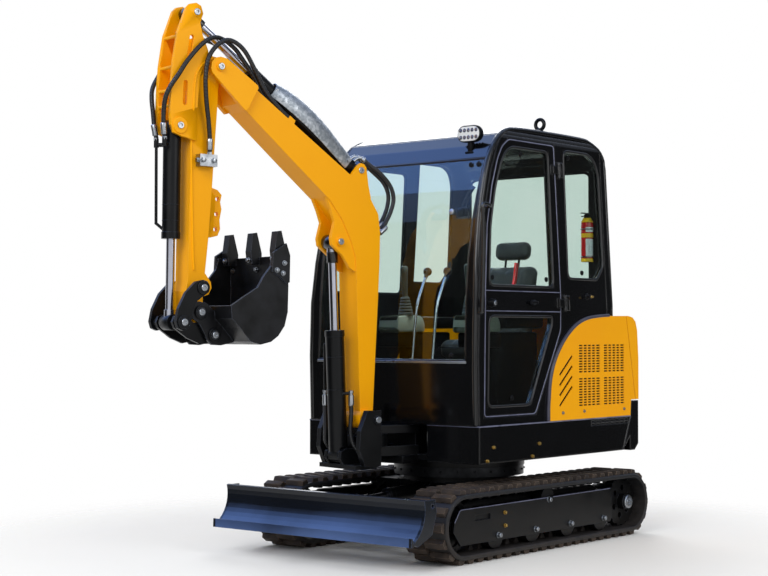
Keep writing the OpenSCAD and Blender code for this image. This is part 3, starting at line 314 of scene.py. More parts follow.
# Hydraulic hose in a spiral guard: 18 mm turns follow the hose by its own UV map, which runs in metres
def makeHose():
    finish, tree, shader, place = newFinish("wrappedHose", Roughness=0.42, Specular_IOR_Level=0.45)
    drawn = addNode(tree, "ShaderNodeUVMap", uv_map="length")
    lay = addNode(tree, "ShaderNodeSeparateXYZ", {"Vector": drawn.outputs["UV"]}).outputs
    turns = addNode(tree, "ShaderNodeMath", {0: lay["Y"], 1: 1000 / 18}, operation="MULTIPLY")
    wound = addNode(tree, "ShaderNodeMath", {0: turns.outputs["Value"], 1: lay["X"]}, operation="ADD")
    step = addNode(tree, "ShaderNodeMath", {0: wound.outputs["Value"]}, operation="FRACT")
    gap = addNode(tree, "ShaderNodeMapRange", {
        "Value": step.outputs["Value"], "From Max": 0.22}, interpolation_type="SMOOTHSTEP").outputs["Result"]
    tone = addNode(tree, "ShaderNodeValToRGB", {"Fac": gap}, stops=[(0.0, "#050506"), (0.9, "#17181A")])
    bump = addNode(tree, "ShaderNodeBump", {"Height": gap, "Strength": 0.7, "Distance": 0.003})
    tree.links.new(tone.outputs["Color"], shader.inputs["Base Color"])
    tree.links.new(bump.outputs["Normal"], shader.inputs["Normal"])
    return finish


for finish in (makeGlass(), makeGalvanised(), makeLeather(), makeHose()):
    finishes[finish.name] = finish
print("finishes made:", len(finishes))


# Shapes: each adds to a bmesh, and addPiece makes the finished object from it
def addObject(name, shape):
    mesh = bpy.data.meshes.new(name)
    shape.to_mesh(mesh)
    shape.free()
    piece = bpy.data.objects.new(name, mesh)
    scene.collection.objects.link(piece)
    return piece


def addPiece(name, shape, finish, body, sharp=35):
    bmesh.ops.remove_doubles(shape, verts=shape.verts, dist=1e-6)
    bmesh.ops.recalc_face_normals(shape, faces=shape.faces)
    piece = addObject(name, shape)
    piece.data.shade_smooth()
    piece.data.set_sharp_from_angle(angle=math.radians(sharp))
    piece.data.materials.append(finishes[finish])
    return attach(piece, body) if body else piece


def meshNow(piece):
    return bpy.data.meshes.new_from_object(piece.evaluated_get(bpy.context.evaluated_depsgraph_get()))


def circle(count, start=0):
    return [start + 2 * math.pi * i / count for i in range(count)]


# Rings turned about an axis: (radius mm, height mm), or with a third number for a ring of that many flats
def turned(shape, base, axis, rings, segments=32):
    turn = Vector(axis).to_track_quat("Z", "Y").to_matrix()
    loops = []
    for ring in rings:
        radius, height, flats = (*ring, 0)[:3]
        part = 2 * math.pi / flats if flats else 0
        loop = []
        for a in circle(segments):
            r = radius / math.cos(a % part - part / 2) if flats else radius
            spot = Vector((r * math.cos(a), r * math.sin(a), height))
            loop.append(shape.verts.new(base + turn @ spot / 1000))
        loops.append(loop)
    for low, high in zip(loops, loops[1:]):
        for i in range(segments):
            j = (i + 1) % segments
            shape.faces.new((low[i], low[j], high[j], high[i]))
    shape.faces.new(loops[0][::-1])
    shape.faces.new(loops[-1])


# A flat outline of places, drawn out along a vector, its edges softened
def plate(shape, outline, offset, soften=0):
    low = [shape.verts.new(p) for p in outline]
    high = [shape.verts.new(p + offset) for p in outline]
    faces = [shape.faces.new(low[::-1]), shape.faces.new(high)]
    for i in range(len(low)):
        j = (i + 1) % len(low)
        faces.append(shape.faces.new((low[i], low[j], high[j], high[i])))
    if soften:
        bmesh.ops.recalc_face_normals(shape, faces=faces)
        edges = list({e for f in faces for e in f.edges})
        bmesh.ops.bevel(shape, geom=edges, offset=soften / 1000, segments=2, affect="EDGES", profile=0.5)


def block(shape, low, high, soften=0):
    (a, b, c), (d, e, f) = low, high
    a, d = sorted((a, d))
    outline = [onHouse(a, b, c), onHouse(d, b, c), onHouse(d, e, c), onHouse(a, e, c)]
    plate(shape, outline, upward * (f - c) / 1000, soften)


def smoothPath(points, steps):
    last = len(points) - 1
    path = []
    for i in range(last):
        a, b, c, d = points[max(i - 1, 0)], points[i], points[i + 1], points[min(i + 2, last)]
        for k in range(steps):
            u = k / steps
            path.append(0.5 * (2 * b + u * (c - a) + u * u * (2 * a - 5 * b + 4 * c - d)
                    + u ** 3 * (3 * b - a - 3 * c + d)))
    return path + [points[last]]


def roundOff(points, radius, steps=5):
    path = []
    for i, p in enumerate(points):
        before, corner, after = Vector(points[i - 1]), Vector(p), Vector(points[(i + 1) % len(points)])
        reach = min(radius, (before - corner).length * 0.45, (after - corner).length * 0.45)
        a = corner + (before - corner).normalized() * reach
        b = corner + (after - corner).normalized() * reach
        for k in range(steps + 1):
            u = k / steps
            path.append(a * (1 - u) ** 2 + corner * 2 * u * (1 - u) + b * u * u)
    return path


def ringRound(shape, middle, side, other, radius, sides):
    return [shape.verts.new(middle + (side * math.cos(a) + other * math.sin(a)) * radius / 1000)
        for a in circle(sides)]


# A round tube along a path, with a UV map of turns round it and metres along it
def tube(shape, path, radius, sides=16):
    lengthMap = shape.loops.layers.uv.get("length") or shape.loops.layers.uv.new("length")
    side = None
    loops, along = [], []
    gone = 0.0
    for i, p in enumerate(path):
        way = (path[min(i + 1, len(path) - 1)] - path[max(i - 1, 0)]).normalized()
        side = way.orthogonal() if side is None else side - way * side.dot(way)
        side.normalize()
        gone += (p - path[i - 1]).length if i else 0
        along.append(gone)
        loops.append(ringRound(shape, p, side, way.cross(side), radius, sides))
    for i in range(len(path) - 1):
        for k in range(sides):
            m = (k + 1) % sides
            face = shape.faces.new((loops[i][k], loops[i][m], loops[i + 1][m], loops[i + 1][k]))
            for loop, (u, v) in zip(face.loops, ((k, i), (k + 1, i), (k + 1, i + 1), (k, i + 1))):
                loop[lengthMap].uv = (u / sides, along[v])
    shape.faces.new(loops[0][::-1])
    shape.faces.new(loops[-1])
    return gone


# A round tube that closes on itself
def loopTube(shape, path, radius, sides=10):
    loops = []
    middle = sum(path, Vector()) / len(path)
    count = len(path)
    for i, p in enumerate(path):
        way = (path[(i + 1) % count] - path[i - 1]).normalized()
        side = (p - middle) - way * (p - middle).dot(way)
        side.normalize()
        loops.append(ringRound(shape, p, side, way.cross(side), radius, sides))
    for i in range(count):
        a, b = loops[i], loops[(i + 1) % count]
        for k in range(sides):
            m = (k + 1) % sides
            shape.faces.new((a[k], a[m], b[m], b[k]))


def turnedPiece(name, finish, body, spots, rings, segments=32, sharp=35):
    shape = bmesh.new()
    for base, axis in spots:
        turned(shape, base, axis, rings, segments)
    return addPiece(name, shape, finish, body, sharp)


def tubePiece(name, finish, body, paths, radius, sides, sharp=60):
    shape = bmesh.new()
    for path in paths:
        tube(shape, path, radius, sides)
    return addPiece(name, shape, finish, body, sharp)


def loopPiece(name, finish, body, path, radius, sides=10):
    shape = bmesh.new()
    loopTube(shape, path, radius, sides)
    return addPiece(name, shape, finish, body, 60)


# Hoses first: each is laid as one fixed tube on its drawn route; it is not attached to the two bodies listed
# as holding its ends, so it doesn't bend between them
hoseRadius = 12
hoses = {
    "armHoseA": {"route": [(40, 1378, 2236), (44, 1386, 2300), (50, 1389, 2370), (67, 1389, 2435),
            (86, 1372, 2492), (97, 1335, 2550), (99, 1272, 2641), (96, 1178, 2737), (74, 1080, 2776),
            (54, 972, 2740), (54, 908, 2675), (55, 838, 2590), (44, 772, 2496), (40, 690, 2439),
            (40, 630, 2398)],
        "bodies": ("arm", "boom"), "bend": ((0, 1330, 2500), (0, 800, 2500)), "stands": "arm_hoses"},
    "armHoseB": {"route": [(87, 1137, 2159), (88, 1137, 2240), (92, 1147, 2330), (102, 1167, 2438),
            (105, 1174, 2548), (102, 1157, 2650), (98, 1108, 2722), (92, 1040, 2764), (90, 979, 2757),
            (88, 917, 2714), (80, 847, 2620), (70, 777, 2522), (66, 690, 2442), (66, 630, 2398)],
        "bodies": ("arm", "boom"), "bend": ((0, 1200, 2450), (0, 800, 2550))},
    "armHoseC": {"route": [(-46, 1376, 2236), (-50, 1386, 2300), (-56, 1390, 2370), (-70, 1390, 2440),
            (-90, 1374, 2500), (-97, 1340, 2560), (-99, 1272, 2660), (-97, 1178, 2752),
            (-76, 1082, 2782), (-64, 996, 2762), (-60, 910, 2694), (-64, 863, 2628), (-66, 790, 2545),
            (-65, 700, 2449), (-65, 630, 2398)],
        "bodies": ("arm", "boom"), "bend": ((0, 1330, 2500), (0, 800, 2500))},
    "kneeHoseA": {"route": [(-9, 92, 2214), (-3, 62, 2189), (14, 14, 2145), (20, -60, 2086),
            (20, -95, 2020), (20, -88, 1950), (20, -60, 1886), (20, -22, 1832), (20, 3, 1812)],
        "bodies": ("arm_barrel", "boom"), "bend": ((0, 120, 2210), (0, -60, 2086)),
        "stands": "boom_hoses"},
    "kneeHoseB": {"route": [(33, 84, 2199), (40, 46, 2172), (50, -13, 2134), (50, -84, 2068),
            (50, -110, 1998), (50, -92, 1926), (50, -54, 1858), (50, -20, 1806), (50, 2, 1788)],
        "bodies": ("arm_barrel", "boom"), "bend": ((0, 120, 2210), (0, -60, 2086))},
    "liftHoseA": {"route": [(80, 213, 872), (80, 212, 789), (80, 216, 716), (82, 210, 650), (92, 188, 598),
            (104, 150, 566), (108, 115, 558)],
        "bodies": ("boom_barrel", "post"), "bend": ((0, 216, 800), (0, 180, 590)), "stands": "lift_hoses"},
    "liftHoseB": {"route": [(-72, 280, 872), (-72, 278, 779), (-74, 276, 700), (-88, 262, 632),
            (-98, 218, 588), (-104, 160, 563), (-106, 115, 558)],
        "bodies": ("boom_barrel", "post"), "bend": ((0, 278, 800), (0, 190, 590))},
}
for name, hose in hoses.items():
    path = smoothPath([onGear(*p) for p in hose["route"]], 8)
    shape = bmesh.new()
    length = tube(shape, path, hoseRadius)
    piece = addPiece(name, shape, "wrappedHose", None)
    start, end = (onGear(*p) for p in hose["bend"])
    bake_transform(piece)
    if "stands" in hose:
        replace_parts(piece, hose["stands"])
print("hoses laid:", len(hoses))

# Studio: a pale floor that fades into a white world, three broad soft lamps and a small one inside the cab
studio = {"reach": 9.0, "middle": (-0.1, 0.35, 0), "fade": (1.7, 3.3), "ambient": 0.52, "mirror": 0.9,
    "flag": 0.04, "flagAxis": (0.64, 0.77, 0), "flagEdge": (0.72, 0.95), "overhead": (0.1, 0.7),
    "sky": 4.0, "skyAim": (-0.62, -0.3, 0.725), "skyEdge": (0.8, 0.97),
    "lamps": {"key": ((1.5, -8.0, 6.5), 5.0, 400), "side": ((8.5, 0.5, 5.0), 4.5, 200),
        "back": ((-5.0, 6.0, 6.5), 4.5, 260), "cabin": ((0, 0.45, 2.3), 0.5, 22)}}


# The world is white to the camera. Mirrors also see black flags left and right and a blue sky above the front
def makeWorld():
    world = bpy.data.worlds.new("studioWorld")
    world.use_nodes = True
    sky = world.node_tree
    for node in list(sky.nodes):
        sky.nodes.remove(node)
    ray = addNode(sky, "ShaderNodeLightPath").outputs
    around = addNode(sky, "ShaderNodeTexCoord").outputs["Generated"]
    toFlag, toSky = (addNode(sky, "ShaderNodeVectorMath", {
        0: around, 1: studio[aim]}, operation="DOT_PRODUCT").outputs["Value"]
        for aim in ("flagAxis", "skyAim"))
    aside = addNode(sky, "ShaderNodeMath", {0: toFlag}, operation="ABSOLUTE")
    near, far = studio["flagEdge"]
    backdrop = addNode(sky, "ShaderNodeMapRange", {
        "Value": aside.outputs["Value"], "From Min": near, "From Max": far, "To Min": 1.0,
        "To Max": studio["flag"]}, interpolation_type="SMOOTHSTEP").outputs["Result"]
    dimmed = addNode(sky, "ShaderNodeMath", {0: backdrop, 1: studio["mirror"]}, operation="MULTIPLY")
    level = studio["ambient"]
    for kind, seen in (("Glossy", dimmed.outputs["Value"]), ("Transmission", backdrop), ("Camera", 1.0)):
        level = addNode(sky, "ShaderNodeMix", {0: ray["Is %s Ray" % kind], 2: level, 3: seen}).outputs[0]
    height = addNode(sky, "ShaderNodeSeparateXYZ", {"Vector": around}).outputs["Z"]
    low, high = studio["overhead"]
    overhead = addNode(sky, "ShaderNodeMapRange", {"Value": height, "From Min": low, "From Max": high})
    near, far = studio["skyEdge"]
    zone = addNode(sky, "ShaderNodeMapRange", {
        "Value": toSky, "From Min": near, "From Max": far}, interpolation_type="SMOOTHSTEP")
    tone = linear("#FFFFFF")
    for part, code in ((overhead, "#B9CCF0"), (zone, "#7FA6F5")):
        blue = addNode(sky, "ShaderNodeMath", {
            0: part.outputs["Result"], 1: ray["Is Glossy Ray"]}, operation="MULTIPLY").outputs["Value"]
        tone = addNode(sky, "ShaderNodeMix", {0: blue, 6: tone, 7: linear(code)}, data_type="RGBA").outputs[2]
    bright = addNode(sky, "ShaderNodeMapRange", {"Value": blue, "To Min": 1.0, "To Max": studio["sky"]})
    strength = addNode(sky, "ShaderNodeMath", {0: level, 1: bright.outputs["Result"]}, operation="MULTIPLY")
    white = addNode(sky, "ShaderNodeBackground", {"Color": tone, "Strength": strength.outputs["Value"]})
    addNode(sky, "ShaderNodeOutputWorld", {"Surface": white.outputs["Background"]})
    return world


def makeFloor():
    finish, tree, shader, place = newFinish("paleFloor", Roughness=0.7, Specular_IOR_Level=0.2)
    shader.inputs["Base Color"].default_value = linear("#FAFAF9")
    away = addNode(tree, "ShaderNodeVectorMath", {0: place, 1: studio["middle"]}, operation="DISTANCE")
    near, far = studio["fade"]
    clear = addNode(tree, "ShaderNodeMapRange", {
        "Value": away.outputs["Value"], "From Min": near, "From Max": far, "To Min": 1.0, "To Max": 0.0},
        interpolation_type="SMOOTHSTEP")
    tree.links.new(clear.outputs["Result"], shader.inputs["Alpha"])
    shape = bmesh.new()
    bmesh.ops.create_circle(shape, cap_ends=True, segments=64, radius=studio["reach"])
    floor = addObject("floor", shape)
    floor.data.materials.append(finish)


scene.world = makeWorld()
makeFloor()
for name, (spot, size, power) in studio["lamps"].items():
    light = bpy.data.lights.new(name, "AREA")
    light.size = size
    light.energy = power
    holder = bpy.data.objects.new(name, light)
    holder.location = spot
    holder.rotation_euler = (upward - Vector(spot)).to_track_quat("-Z", "Y").to_euler()
    scene.collection.objects.link(holder)
    if name == "cabin":
        holder.visible_camera = holder.visible_glossy = holder.visible_transmission = False
print("studio set")


# Geometry Nodes: one tree for each thing that repeats, run on a cloud of spots and baked to a plain mesh
def newTree(name, labels):
    tree = bpy.data.node_groups.new(name, "GeometryNodeTree")
    tree.interface.new_socket("Geometry", in_out="INPUT", socket_type="NodeSocketGeometry")
    for label in labels:
        tree.interface.new_socket(label, in_out="INPUT", socket_type="NodeSocketFloat")
    tree.interface.new_socket("Finish", in_out="INPUT", socket_type="NodeSocketMaterial")
    tree.interface.new_socket("Geometry", in_out="OUTPUT", socket_type="NodeSocketGeometry")
    return tree, addNode(tree, "NodeGroupInput").outputs


def placeOnSpots(tree, ports, part):
    aim, way = (addNode(tree, "GeometryNodeInputNamedAttribute", {
        "Name": name}, data_type="FLOAT_VECTOR").outputs["Attribute"] for name in ("aim", "way"))
    up = addNode(tree, "FunctionNodeAlignRotationToVector", {"Vector": aim}, axis="Z")
    turn = addNode(tree, "FunctionNodeAlignRotationToVector", {
        "Rotation": up.outputs["Rotation"], "Vector": way}, axis="Y", pivot_axis="Z")
    copies = addNode(tree, "GeometryNodeInstanceOnPoints", {
        "Points": ports["Geometry"], "Instance": part, "Rotation": turn.outputs["Rotation"]})
    real = addNode(tree, "GeometryNodeRealizeInstances", {"Geometry": copies.outputs["Instances"]})
    coated = addNode(tree, "GeometryNodeSetMaterial", {
        "Geometry": real.outputs["Geometry"], "Material": ports["Finish"]})
    addNode(tree, "NodeGroupOutput", {"Geometry": coated.outputs["Geometry"]})


# A spot is a place, the way its part stands up and, where it matters, the way its part runs
def grow(name, tree, spots, sizes, finish, body):
    mesh = bpy.data.meshes.new(name)
    mesh.from_pydata([s[0] for s in spots], [], [])
    for label, k in (("aim", 1), ("way", 2)):
        ways = mesh.attributes.new(label, "FLOAT_VECTOR", "POINT")
        ways.data.foreach_set("vector", [c for s in spots for c in (s[k] if len(s) > k else upward)])
    piece = bpy.data.objects.new(name, mesh)
    scene.collection.objects.link(piece)
    nodes = piece.modifiers.new("grow", "NODES")
    nodes.node_group = tree
    items = tree.interface.items_tree
    for item, size in zip([i for i in items if i.socket_type == "NodeSocketFloat"], sizes):
        nodes[item.identifier] = size / 1000
    nodes[items["Finish"].identifier] = finishes[finish]
    baked = meshNow(piece)
    piece.modifiers.remove(nodes)
    piece.data = baked
    baked.name = name
    baked.shade_smooth()
    baked.set_sharp_from_angle(angle=math.radians(30))
    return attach(piece, body)


# Hex bolt with its washer, standing on its spot: washer, head and a turned crown on the head
def makeBoltTree():
    tree, ports = newTree("hexBolt", ("Head Width", "Head Height", "Washer Width", "Washer Height"))
    shares = {}
    for name, label, share in (
            ("washerRadius", "Washer Width", 0.5), ("washerMiddle", "Washer Height", 0.5),
            ("headRadius", "Head Width", 0.577), ("headMiddle", "Head Height", 0.5),
            ("crownFoot", "Head Width", 0.48), ("crownTop", "Head Width", 0.38),
            ("crownRise", "Head Height", 0.2)):
        product = addNode(tree, "ShaderNodeMath", {0: ports[label], 1: share}, operation="MULTIPLY")
        shares[name] = product.outputs["Value"]
    washer = addNode(tree, "GeometryNodeMeshCylinder", {
        "Vertices": 20, "Radius": shares["washerRadius"], "Depth": ports["Washer Height"]})
    head = addNode(tree, "GeometryNodeMeshCylinder", {
        "Vertices": 6, "Radius": shares["headRadius"], "Depth": ports["Head Height"]})
    crown = addNode(tree, "GeometryNodeMeshCone", {
        "Vertices": 16, "Radius Top": shares["crownTop"], "Radius Bottom": shares["crownFoot"],
        "Depth": shares["crownRise"]})
    middle, top = (addNode(tree, "ShaderNodeMath", {
        0: first, 1: second}, operation="ADD").outputs["Value"] for first, second in (
        (shares["headMiddle"], ports["Washer Height"]), (ports["Washer Height"], ports["Head Height"])))
    whole = addNode(tree, "GeometryNodeJoinGeometry")
    for part, height in ((washer, shares["washerMiddle"]), (head, middle), (crown, top)):
        offset = addNode(tree, "ShaderNodeCombineXYZ", {"Z": height})
        raised = addNode(tree, "GeometryNodeTransform", {
            "Geometry": part.outputs["Mesh"], "Translation": offset.outputs[0]})
        tree.links.new(raised.outputs["Geometry"], whole.inputs["Geometry"])
    placeOnSpots(tree, ports, whole.outputs["Geometry"])
    return tree


boltTree = makeBoltTree()


def sideSpots(x, places):
    return [(onHouse(k * x, y, z), outward * k) for k in bothSides for y, z in places]


coverFace, skirtFace, hubFace, ringFace = 659, 626, 672, 388
sprocket = (845, 200)
hubSpots = [(sprocket[0] + 15 * math.cos(a), sprocket[1] + 15 * math.sin(a))
    for a in circle(5, start=math.radians(18))]
rollerSpots = [(-512, 126), (-154, 126), (204, 126), (562, 126), (-20, 283)]
ringWays = [Vector((math.cos(a), math.sin(a), 0)) for a in circle(24, start=math.radians(6))]
ringSpots = [(onHouse(ringFace * way.x, ringFace * way.y, 432), way) for way in ringWays]
bolts = {
    "rollerNuts": {"spots": sideSpots(coverFace, rollerSpots),
        "sizes": (26, 16, 34, 4), "finish": "zincPlate", "body": "undercarriage"},
    "coverBolts": {"spots": sideSpots(coverFace, [(-451, 245), (-447, 173)]),
        "sizes": (17, 9, 24, 3), "finish": "yellowZinc", "body": "undercarriage"},
    "skirtBolts": {"spots": sideSpots(skirtFace, [(-509, 604), (-569, 532), (-64, 603), (-133, 534)]),
        "sizes": (15, 8, 22, 3), "finish": "yellowZinc", "body": "house"},
    "hoodBolts": {"spots": sideSpots(skirtFace, [(182, 768), (410, 770), (860, 768)]),
        "sizes": (12, 6, 20, 2), "finish": "zincPlate", "body": "house"},
    "hubBolts": {"spots": sideSpots(hubFace, hubSpots),
        "sizes": (9, 6, 11, 1.5), "finish": "zincPlate", "body": "undercarriage"},
    "slewRingBolts": {"spots": ringSpots,
        "sizes": (10, 5, 14, 1.5), "finish": "bearingSteel", "body": "undercarriage"},
    "cutterBolts": {"spots": [(onGear(k * 284, s, z), leftward * k) for k in bothSides
            for s, z in ((803, 1599), (850, 1562), (812, 1546))],
        "sizes": (19, 11, 28, 3), "finish": "zincPlate", "body": "bucket"},
    "lipBolts": {"spots": [(onGear(t, s, z), ahead) for t in (-228, 0, 228)
            for s, z in ((835.5, 1624), (784.8, 1574))],
        "sizes": (19, 10, 30, 4), "finish": "zincPlate", "body": "bucket"},
}
for name, row in bolts.items():
    grow(name, boltTree, row["spots"], row["sizes"], row["finish"], row["body"])
print("bolts set")

# Rubber track: moulded lugs in two staggered rows on a belt, guide horns inside
track = {"out": 700, "width": 300, "idler": 855, "sprocket": sprocket[0], "tip": sprocket[1], "lugHigh": 25,
    "belt": 25, "lugs": 52, "lugFoot": 54, "lugTip": 36, "lugWide": 132, "row": 82, "sink": 0.5,
    "steps": 156}


def makeLugTree():
    tree, ports = newTree("trackLug", ("Lug Width", "Lug Length", "Lug Height", "Tip Length"))
    foot = addNode(tree, "GeometryNodeMeshGrid", {
        "Size X": ports["Lug Width"], "Size Y": ports["Lug Length"], "Vertices X": 2, "Vertices Y": 2})
    rise, last = (addNode(tree, "ShaderNodeMath", {
        0: ports["Lug Height"], 1: share}, operation="MULTIPLY").outputs["Value"] for share in (0.86, 0.14))
    share = addNode(tree, "ShaderNodeMath", {
        0: ports["Tip Length"], 1: ports["Lug Length"]}, operation="DIVIDE")
    body = addNode(tree, "GeometryNodeExtrudeMesh", {
        "Mesh": foot.outputs["Mesh"], "Offset Scale": rise, "Individual": False}).outputs
    slope = addNode(tree, "GeometryNodeScaleElements", {
        "Geometry": body["Mesh"], "Selection": body["Top"], "Scale": share.outputs["Value"],
        "Axis": (0, 1, 0)}, scale_mode="SINGLE_AXIS")
    rim = addNode(tree, "GeometryNodeExtrudeMesh", {
        "Mesh": slope.outputs["Geometry"], "Selection": body["Top"], "Offset Scale": last,
        "Individual": False}).outputs
    tip = addNode(tree, "GeometryNodeScaleElements", {
        "Geometry": rim["Mesh"], "Selection": rim["Top"], "Scale": 0.88})
    under = addNode(tree, "GeometryNodeFlipFaces", {"Mesh": foot.outputs["Mesh"]})
    closed = addNode(tree, "GeometryNodeJoinGeometry")
    for part in (tip.outputs["Geometry"], under.outputs["Mesh"]):
        tree.links.new(part, closed.inputs["Geometry"])
    sealed = addNode(tree, "GeometryNodeMergeByDistance", {
        "Geometry": closed.outputs["Geometry"], "Distance": 1e-5})
    placeOnSpots(tree, ports, sealed.outputs["Geometry"])
    return tree


lugTree = makeLugTree()
beltOut = track["tip"] - track["lugHigh"]
beltIn = beltOut - track["belt"]
straight = track["idler"] + track["sprocket"]
loopLength = 2 * straight + 2 * math.pi * beltOut
pitch = loopLength / track["lugs"]


# A place on the loop at a run of u from the sprocket's foot, with the ways out of the loop and along it
def onLoop(u, radius):
    arc = math.pi * beltOut
    v = u % loopLength
    if v < straight:
        return (track["sprocket"] - v, track["tip"] - radius), (0, -1), (-1, 0)
    if v < straight + arc:
        a = (v - straight) / beltOut
        return ((-track["idler"] - radius * math.sin(a), track["tip"] - radius * math.cos(a)),
            (-math.sin(a), -math.cos(a)), (-math.cos(a), math.sin(a)))
    if v < 2 * straight + arc:
        return (-track["idler"] + v - straight - arc, track["tip"] + radius), (0, 1), (1, 0)
    a = (v - 2 * straight - arc) / beltOut
    return ((track["sprocket"] + radius * math.sin(a), track["tip"] + radius * math.cos(a)),
        (math.sin(a), math.cos(a)), (math.cos(a), -math.sin(a)))


def layBelt(sideName, k, low, high):
    section = [(low, beltIn + 6), (low + 6, beltIn), (high - 6, beltIn), (high, beltIn + 6),
        (high, beltOut - 8), (high - 8, beltOut), (low + 8, beltOut), (low, beltOut - 8)]
    shape = bmesh.new()
    steps = track["steps"]
    loops = []
    for i in range(steps):
        u = loopLength * i / steps
        loops.append([shape.verts.new(onHouse(k * x, *onLoop(u, r)[0])) for x, r in section])
    for i in range(steps):
        a, b = loops[i], loops[(i + 1) % steps]
        for j in range(len(section)):
            m = (j + 1) % len(section)
            shape.faces.new((a[j], a[m], b[m], b[j]))
    belt = addPiece("trackBelt" + sideName, shape, "trackRubber", "undercarriage")
    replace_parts(belt, "track_" + sideName.lower())


def lugSpot(k, x, u, radius, way):
    (y, z), up, run = onLoop(u, radius)
    return onHouse(k * x, y, z), way * Vector((0, *up)), Vector((0, *run))


def layLugs(sideName, k, low, high):
    spots = []
    for shift, x in ((0.1, low + track["row"]), (0.6, high - track["row"])):
        for i in range(track["lugs"]):
            u = (i + shift) * pitch + track["lugFoot"] / 2
            spots.append(lugSpot(k, x, u, beltOut - track["sink"], 1))
    sizes = (track["lugWide"], track["lugFoot"], track["lugHigh"] + track["sink"], track["lugTip"])
    lugs = grow("trackLugs" + sideName, lugTree, spots, sizes, "lugRubber", "undercarriage")


def layHorns(sideName, k, middle, clear=190):
    spots = []
    for i in range(track["lugs"]):
        u = (i + 0.35) * pitch
        y = onLoop(u, beltIn)[0][0]
        if abs(y - track["sprocket"]) > clear and abs(y + track["idler"]) > clear:
            spots.append(lugSpot(k, middle, u, beltIn + track["sink"], -1))
    sizes = (56, 44, 29, 26)
    grow("trackHorns" + sideName, lugTree, spots, sizes, "trackRubber", "undercarriage")


for sideName, k in sideNames:
    low, high = track["out"] - track["width"], track["out"]
    layBelt(sideName, k, low, high)
    layLugs(sideName, k, low, high)
    layHorns(sideName, k, (low + high) / 2)

# Track frame: a box spine under the upper run, a thin pale tube along the cover's edge as a painted
# highlight, a cap on the sprocket's hub
spine = {"x": (446, 556),
    "outline": [(-690, 240), (-690, 296), (-650, 316), (600, 316), (650, 290), (650, 240)]}
coverHighlightRuns = ([(-905, 225), (-862, 284), (-845, 290), (-26, 293)], [(26, 293), (640, 296)])
capRings = [(42, -4), (42, 14), (38, 19), (28, 20), (27, 23), (4, 23)]
shape = bmesh.new()
for k in bothSides:
    low, high = sorted((k * spine["x"][0], k * spine["x"][1]))
    plate(shape, [onHouse(low, y, z) for y, z in spine["outline"]], outward * (high - low) / 1000, 5)
addPiece("frameSpines", shape, "satinBlack", "undercarriage")
tubePiece("coverHighlightTubes", "paintedHighlightBead", "undercarriage",
    [[onHouse(k * 658, y, z) for y, z in run] for k in bothSides for run in coverHighlightRuns], 3, 8)
turnedPiece("hubCaps", "zincPlate", "undercarriage", sideSpots(650, [sprocket]), capRings, 40)
print("tracks laid")

# Cab trim: rubber seals round the panes, black glass buttons, the strip under the windscreen
cab = {"half": 612, "belt": 1400, "lean": 52 / 940, "seal": 9, "sealCorner": 46, "screenHalf": 540,
    "screenRise": (1080, 2214),
    "doorLow": [(-538, 826), (-525, 1330), (95, 1330), (97, 1285), (-128, 826)],
    "doorHigh": [(-518, 1500), (-478, 1837), (-418, 2050), (-350, 2200), (-305, 2262), (-240, 2296),
        (127, 2296), (120, 1500)],
    "quarter": [(275, 1555), (290, 2318), (560, 2318), (632, 2280), (668, 2200), (672, 1640), (625, 1585),
        (590, 1555)],
    "sidePane": [(-500, 1480), (-430, 1900), (-360, 2130), (-300, 2240), (187, 2240), (187, 1480)],
    "rearPane": [(-460, 1470), (460, 1470), (460, 2230), (-460, 2230)],
    "screen": [(-650, 1075), (-640, 1420), (-617, 1650), (-577, 1870), (-530, 2036), (-461, 2220)]}
sideSeals = {"sealDoorLow": ("doorLow", "door", 1), "sealDoorHigh": ("doorHigh", "door", 1),
    "sealQuarterLeft": ("quarter", "house", 1), "sealSidePane": ("sidePane", "house", -1),
    "sealQuarterRight": ("quarter", "house", -1)}


def wallX(z, inset=0):
    return cab["half"] - inset - max(0, z - cab["belt"]) * cab["lean"]


def screenY(z):
    pairs = cab["screen"]
    for (y0, z0), (y1, z1) in zip(pairs, pairs[1:]):
        if z <= z1:
            return y0 + (y1 - y0) * (z - z0) / (z1 - z0)
    return pairs[-1][0]


for name, (outline, body, k) in sideSeals.items():
    path = [onHouse(k * wallX(p.y, 5), p.x, p.y) for p in roundOff(cab[outline], cab["sealCorner"])]
    loopPiece(name, "sealRubber", body, path, cab["seal"])
low, high = cab["screenRise"]
rise = [low + (high - low) * i / 16 for i in range(17)]
edge = [(cab["screenHalf"], z) for z in rise] + [(-cab["screenHalf"], z) for z in reversed(rise)]
screenEdge = [onHouse(x, screenY(z) + 3, z) for x, z in edge]
loopPiece("sealWindscreen", "sealRubber", "house", screenEdge, cab["seal"])
shape = bmesh.new()
block(shape, (-548, -658, 1066), (548, -649, 1080), 2.5)
addPiece("screenStrip", shape, "zincPlate", "house")
rearEdge = [onHouse(x, 744, z) for x, z in roundOff(cab["rearPane"], 60)]
loopPiece("sealRearPane", "sealRubber", "house", rearEdge, cab["seal"])

buttonRings = [(15, -2), (15, 3), (13, 6), (8, 8), (0.5, 8.6)]
paneButtons = {"doorButtons": ("door", [(-143, 2262), (-300, 870), (60, 1545), (-470, 1545)]),
    "quarterButtons": ("house", [(352, 2280), (444, 1594)])}
screenButtons = [(452, 2180), (505, 2180), (443, 1111), (-452, 2180), (-443, 1111)]
for name, (body, places) in paneButtons.items():
    spots = [(onHouse(wallX(z, 12), y, z), (1, 0, 0.055)) for y, z in places]
    turnedPiece(name, "blackPlastic", body, spots, buttonRings, 20)
turnedPiece("screenButtons", "blackPlastic", "house",
    [(onHouse(x, screenY(z) - 1, z), (0, -1, 0.1)) for x, z in screenButtons], buttonRings, 20)

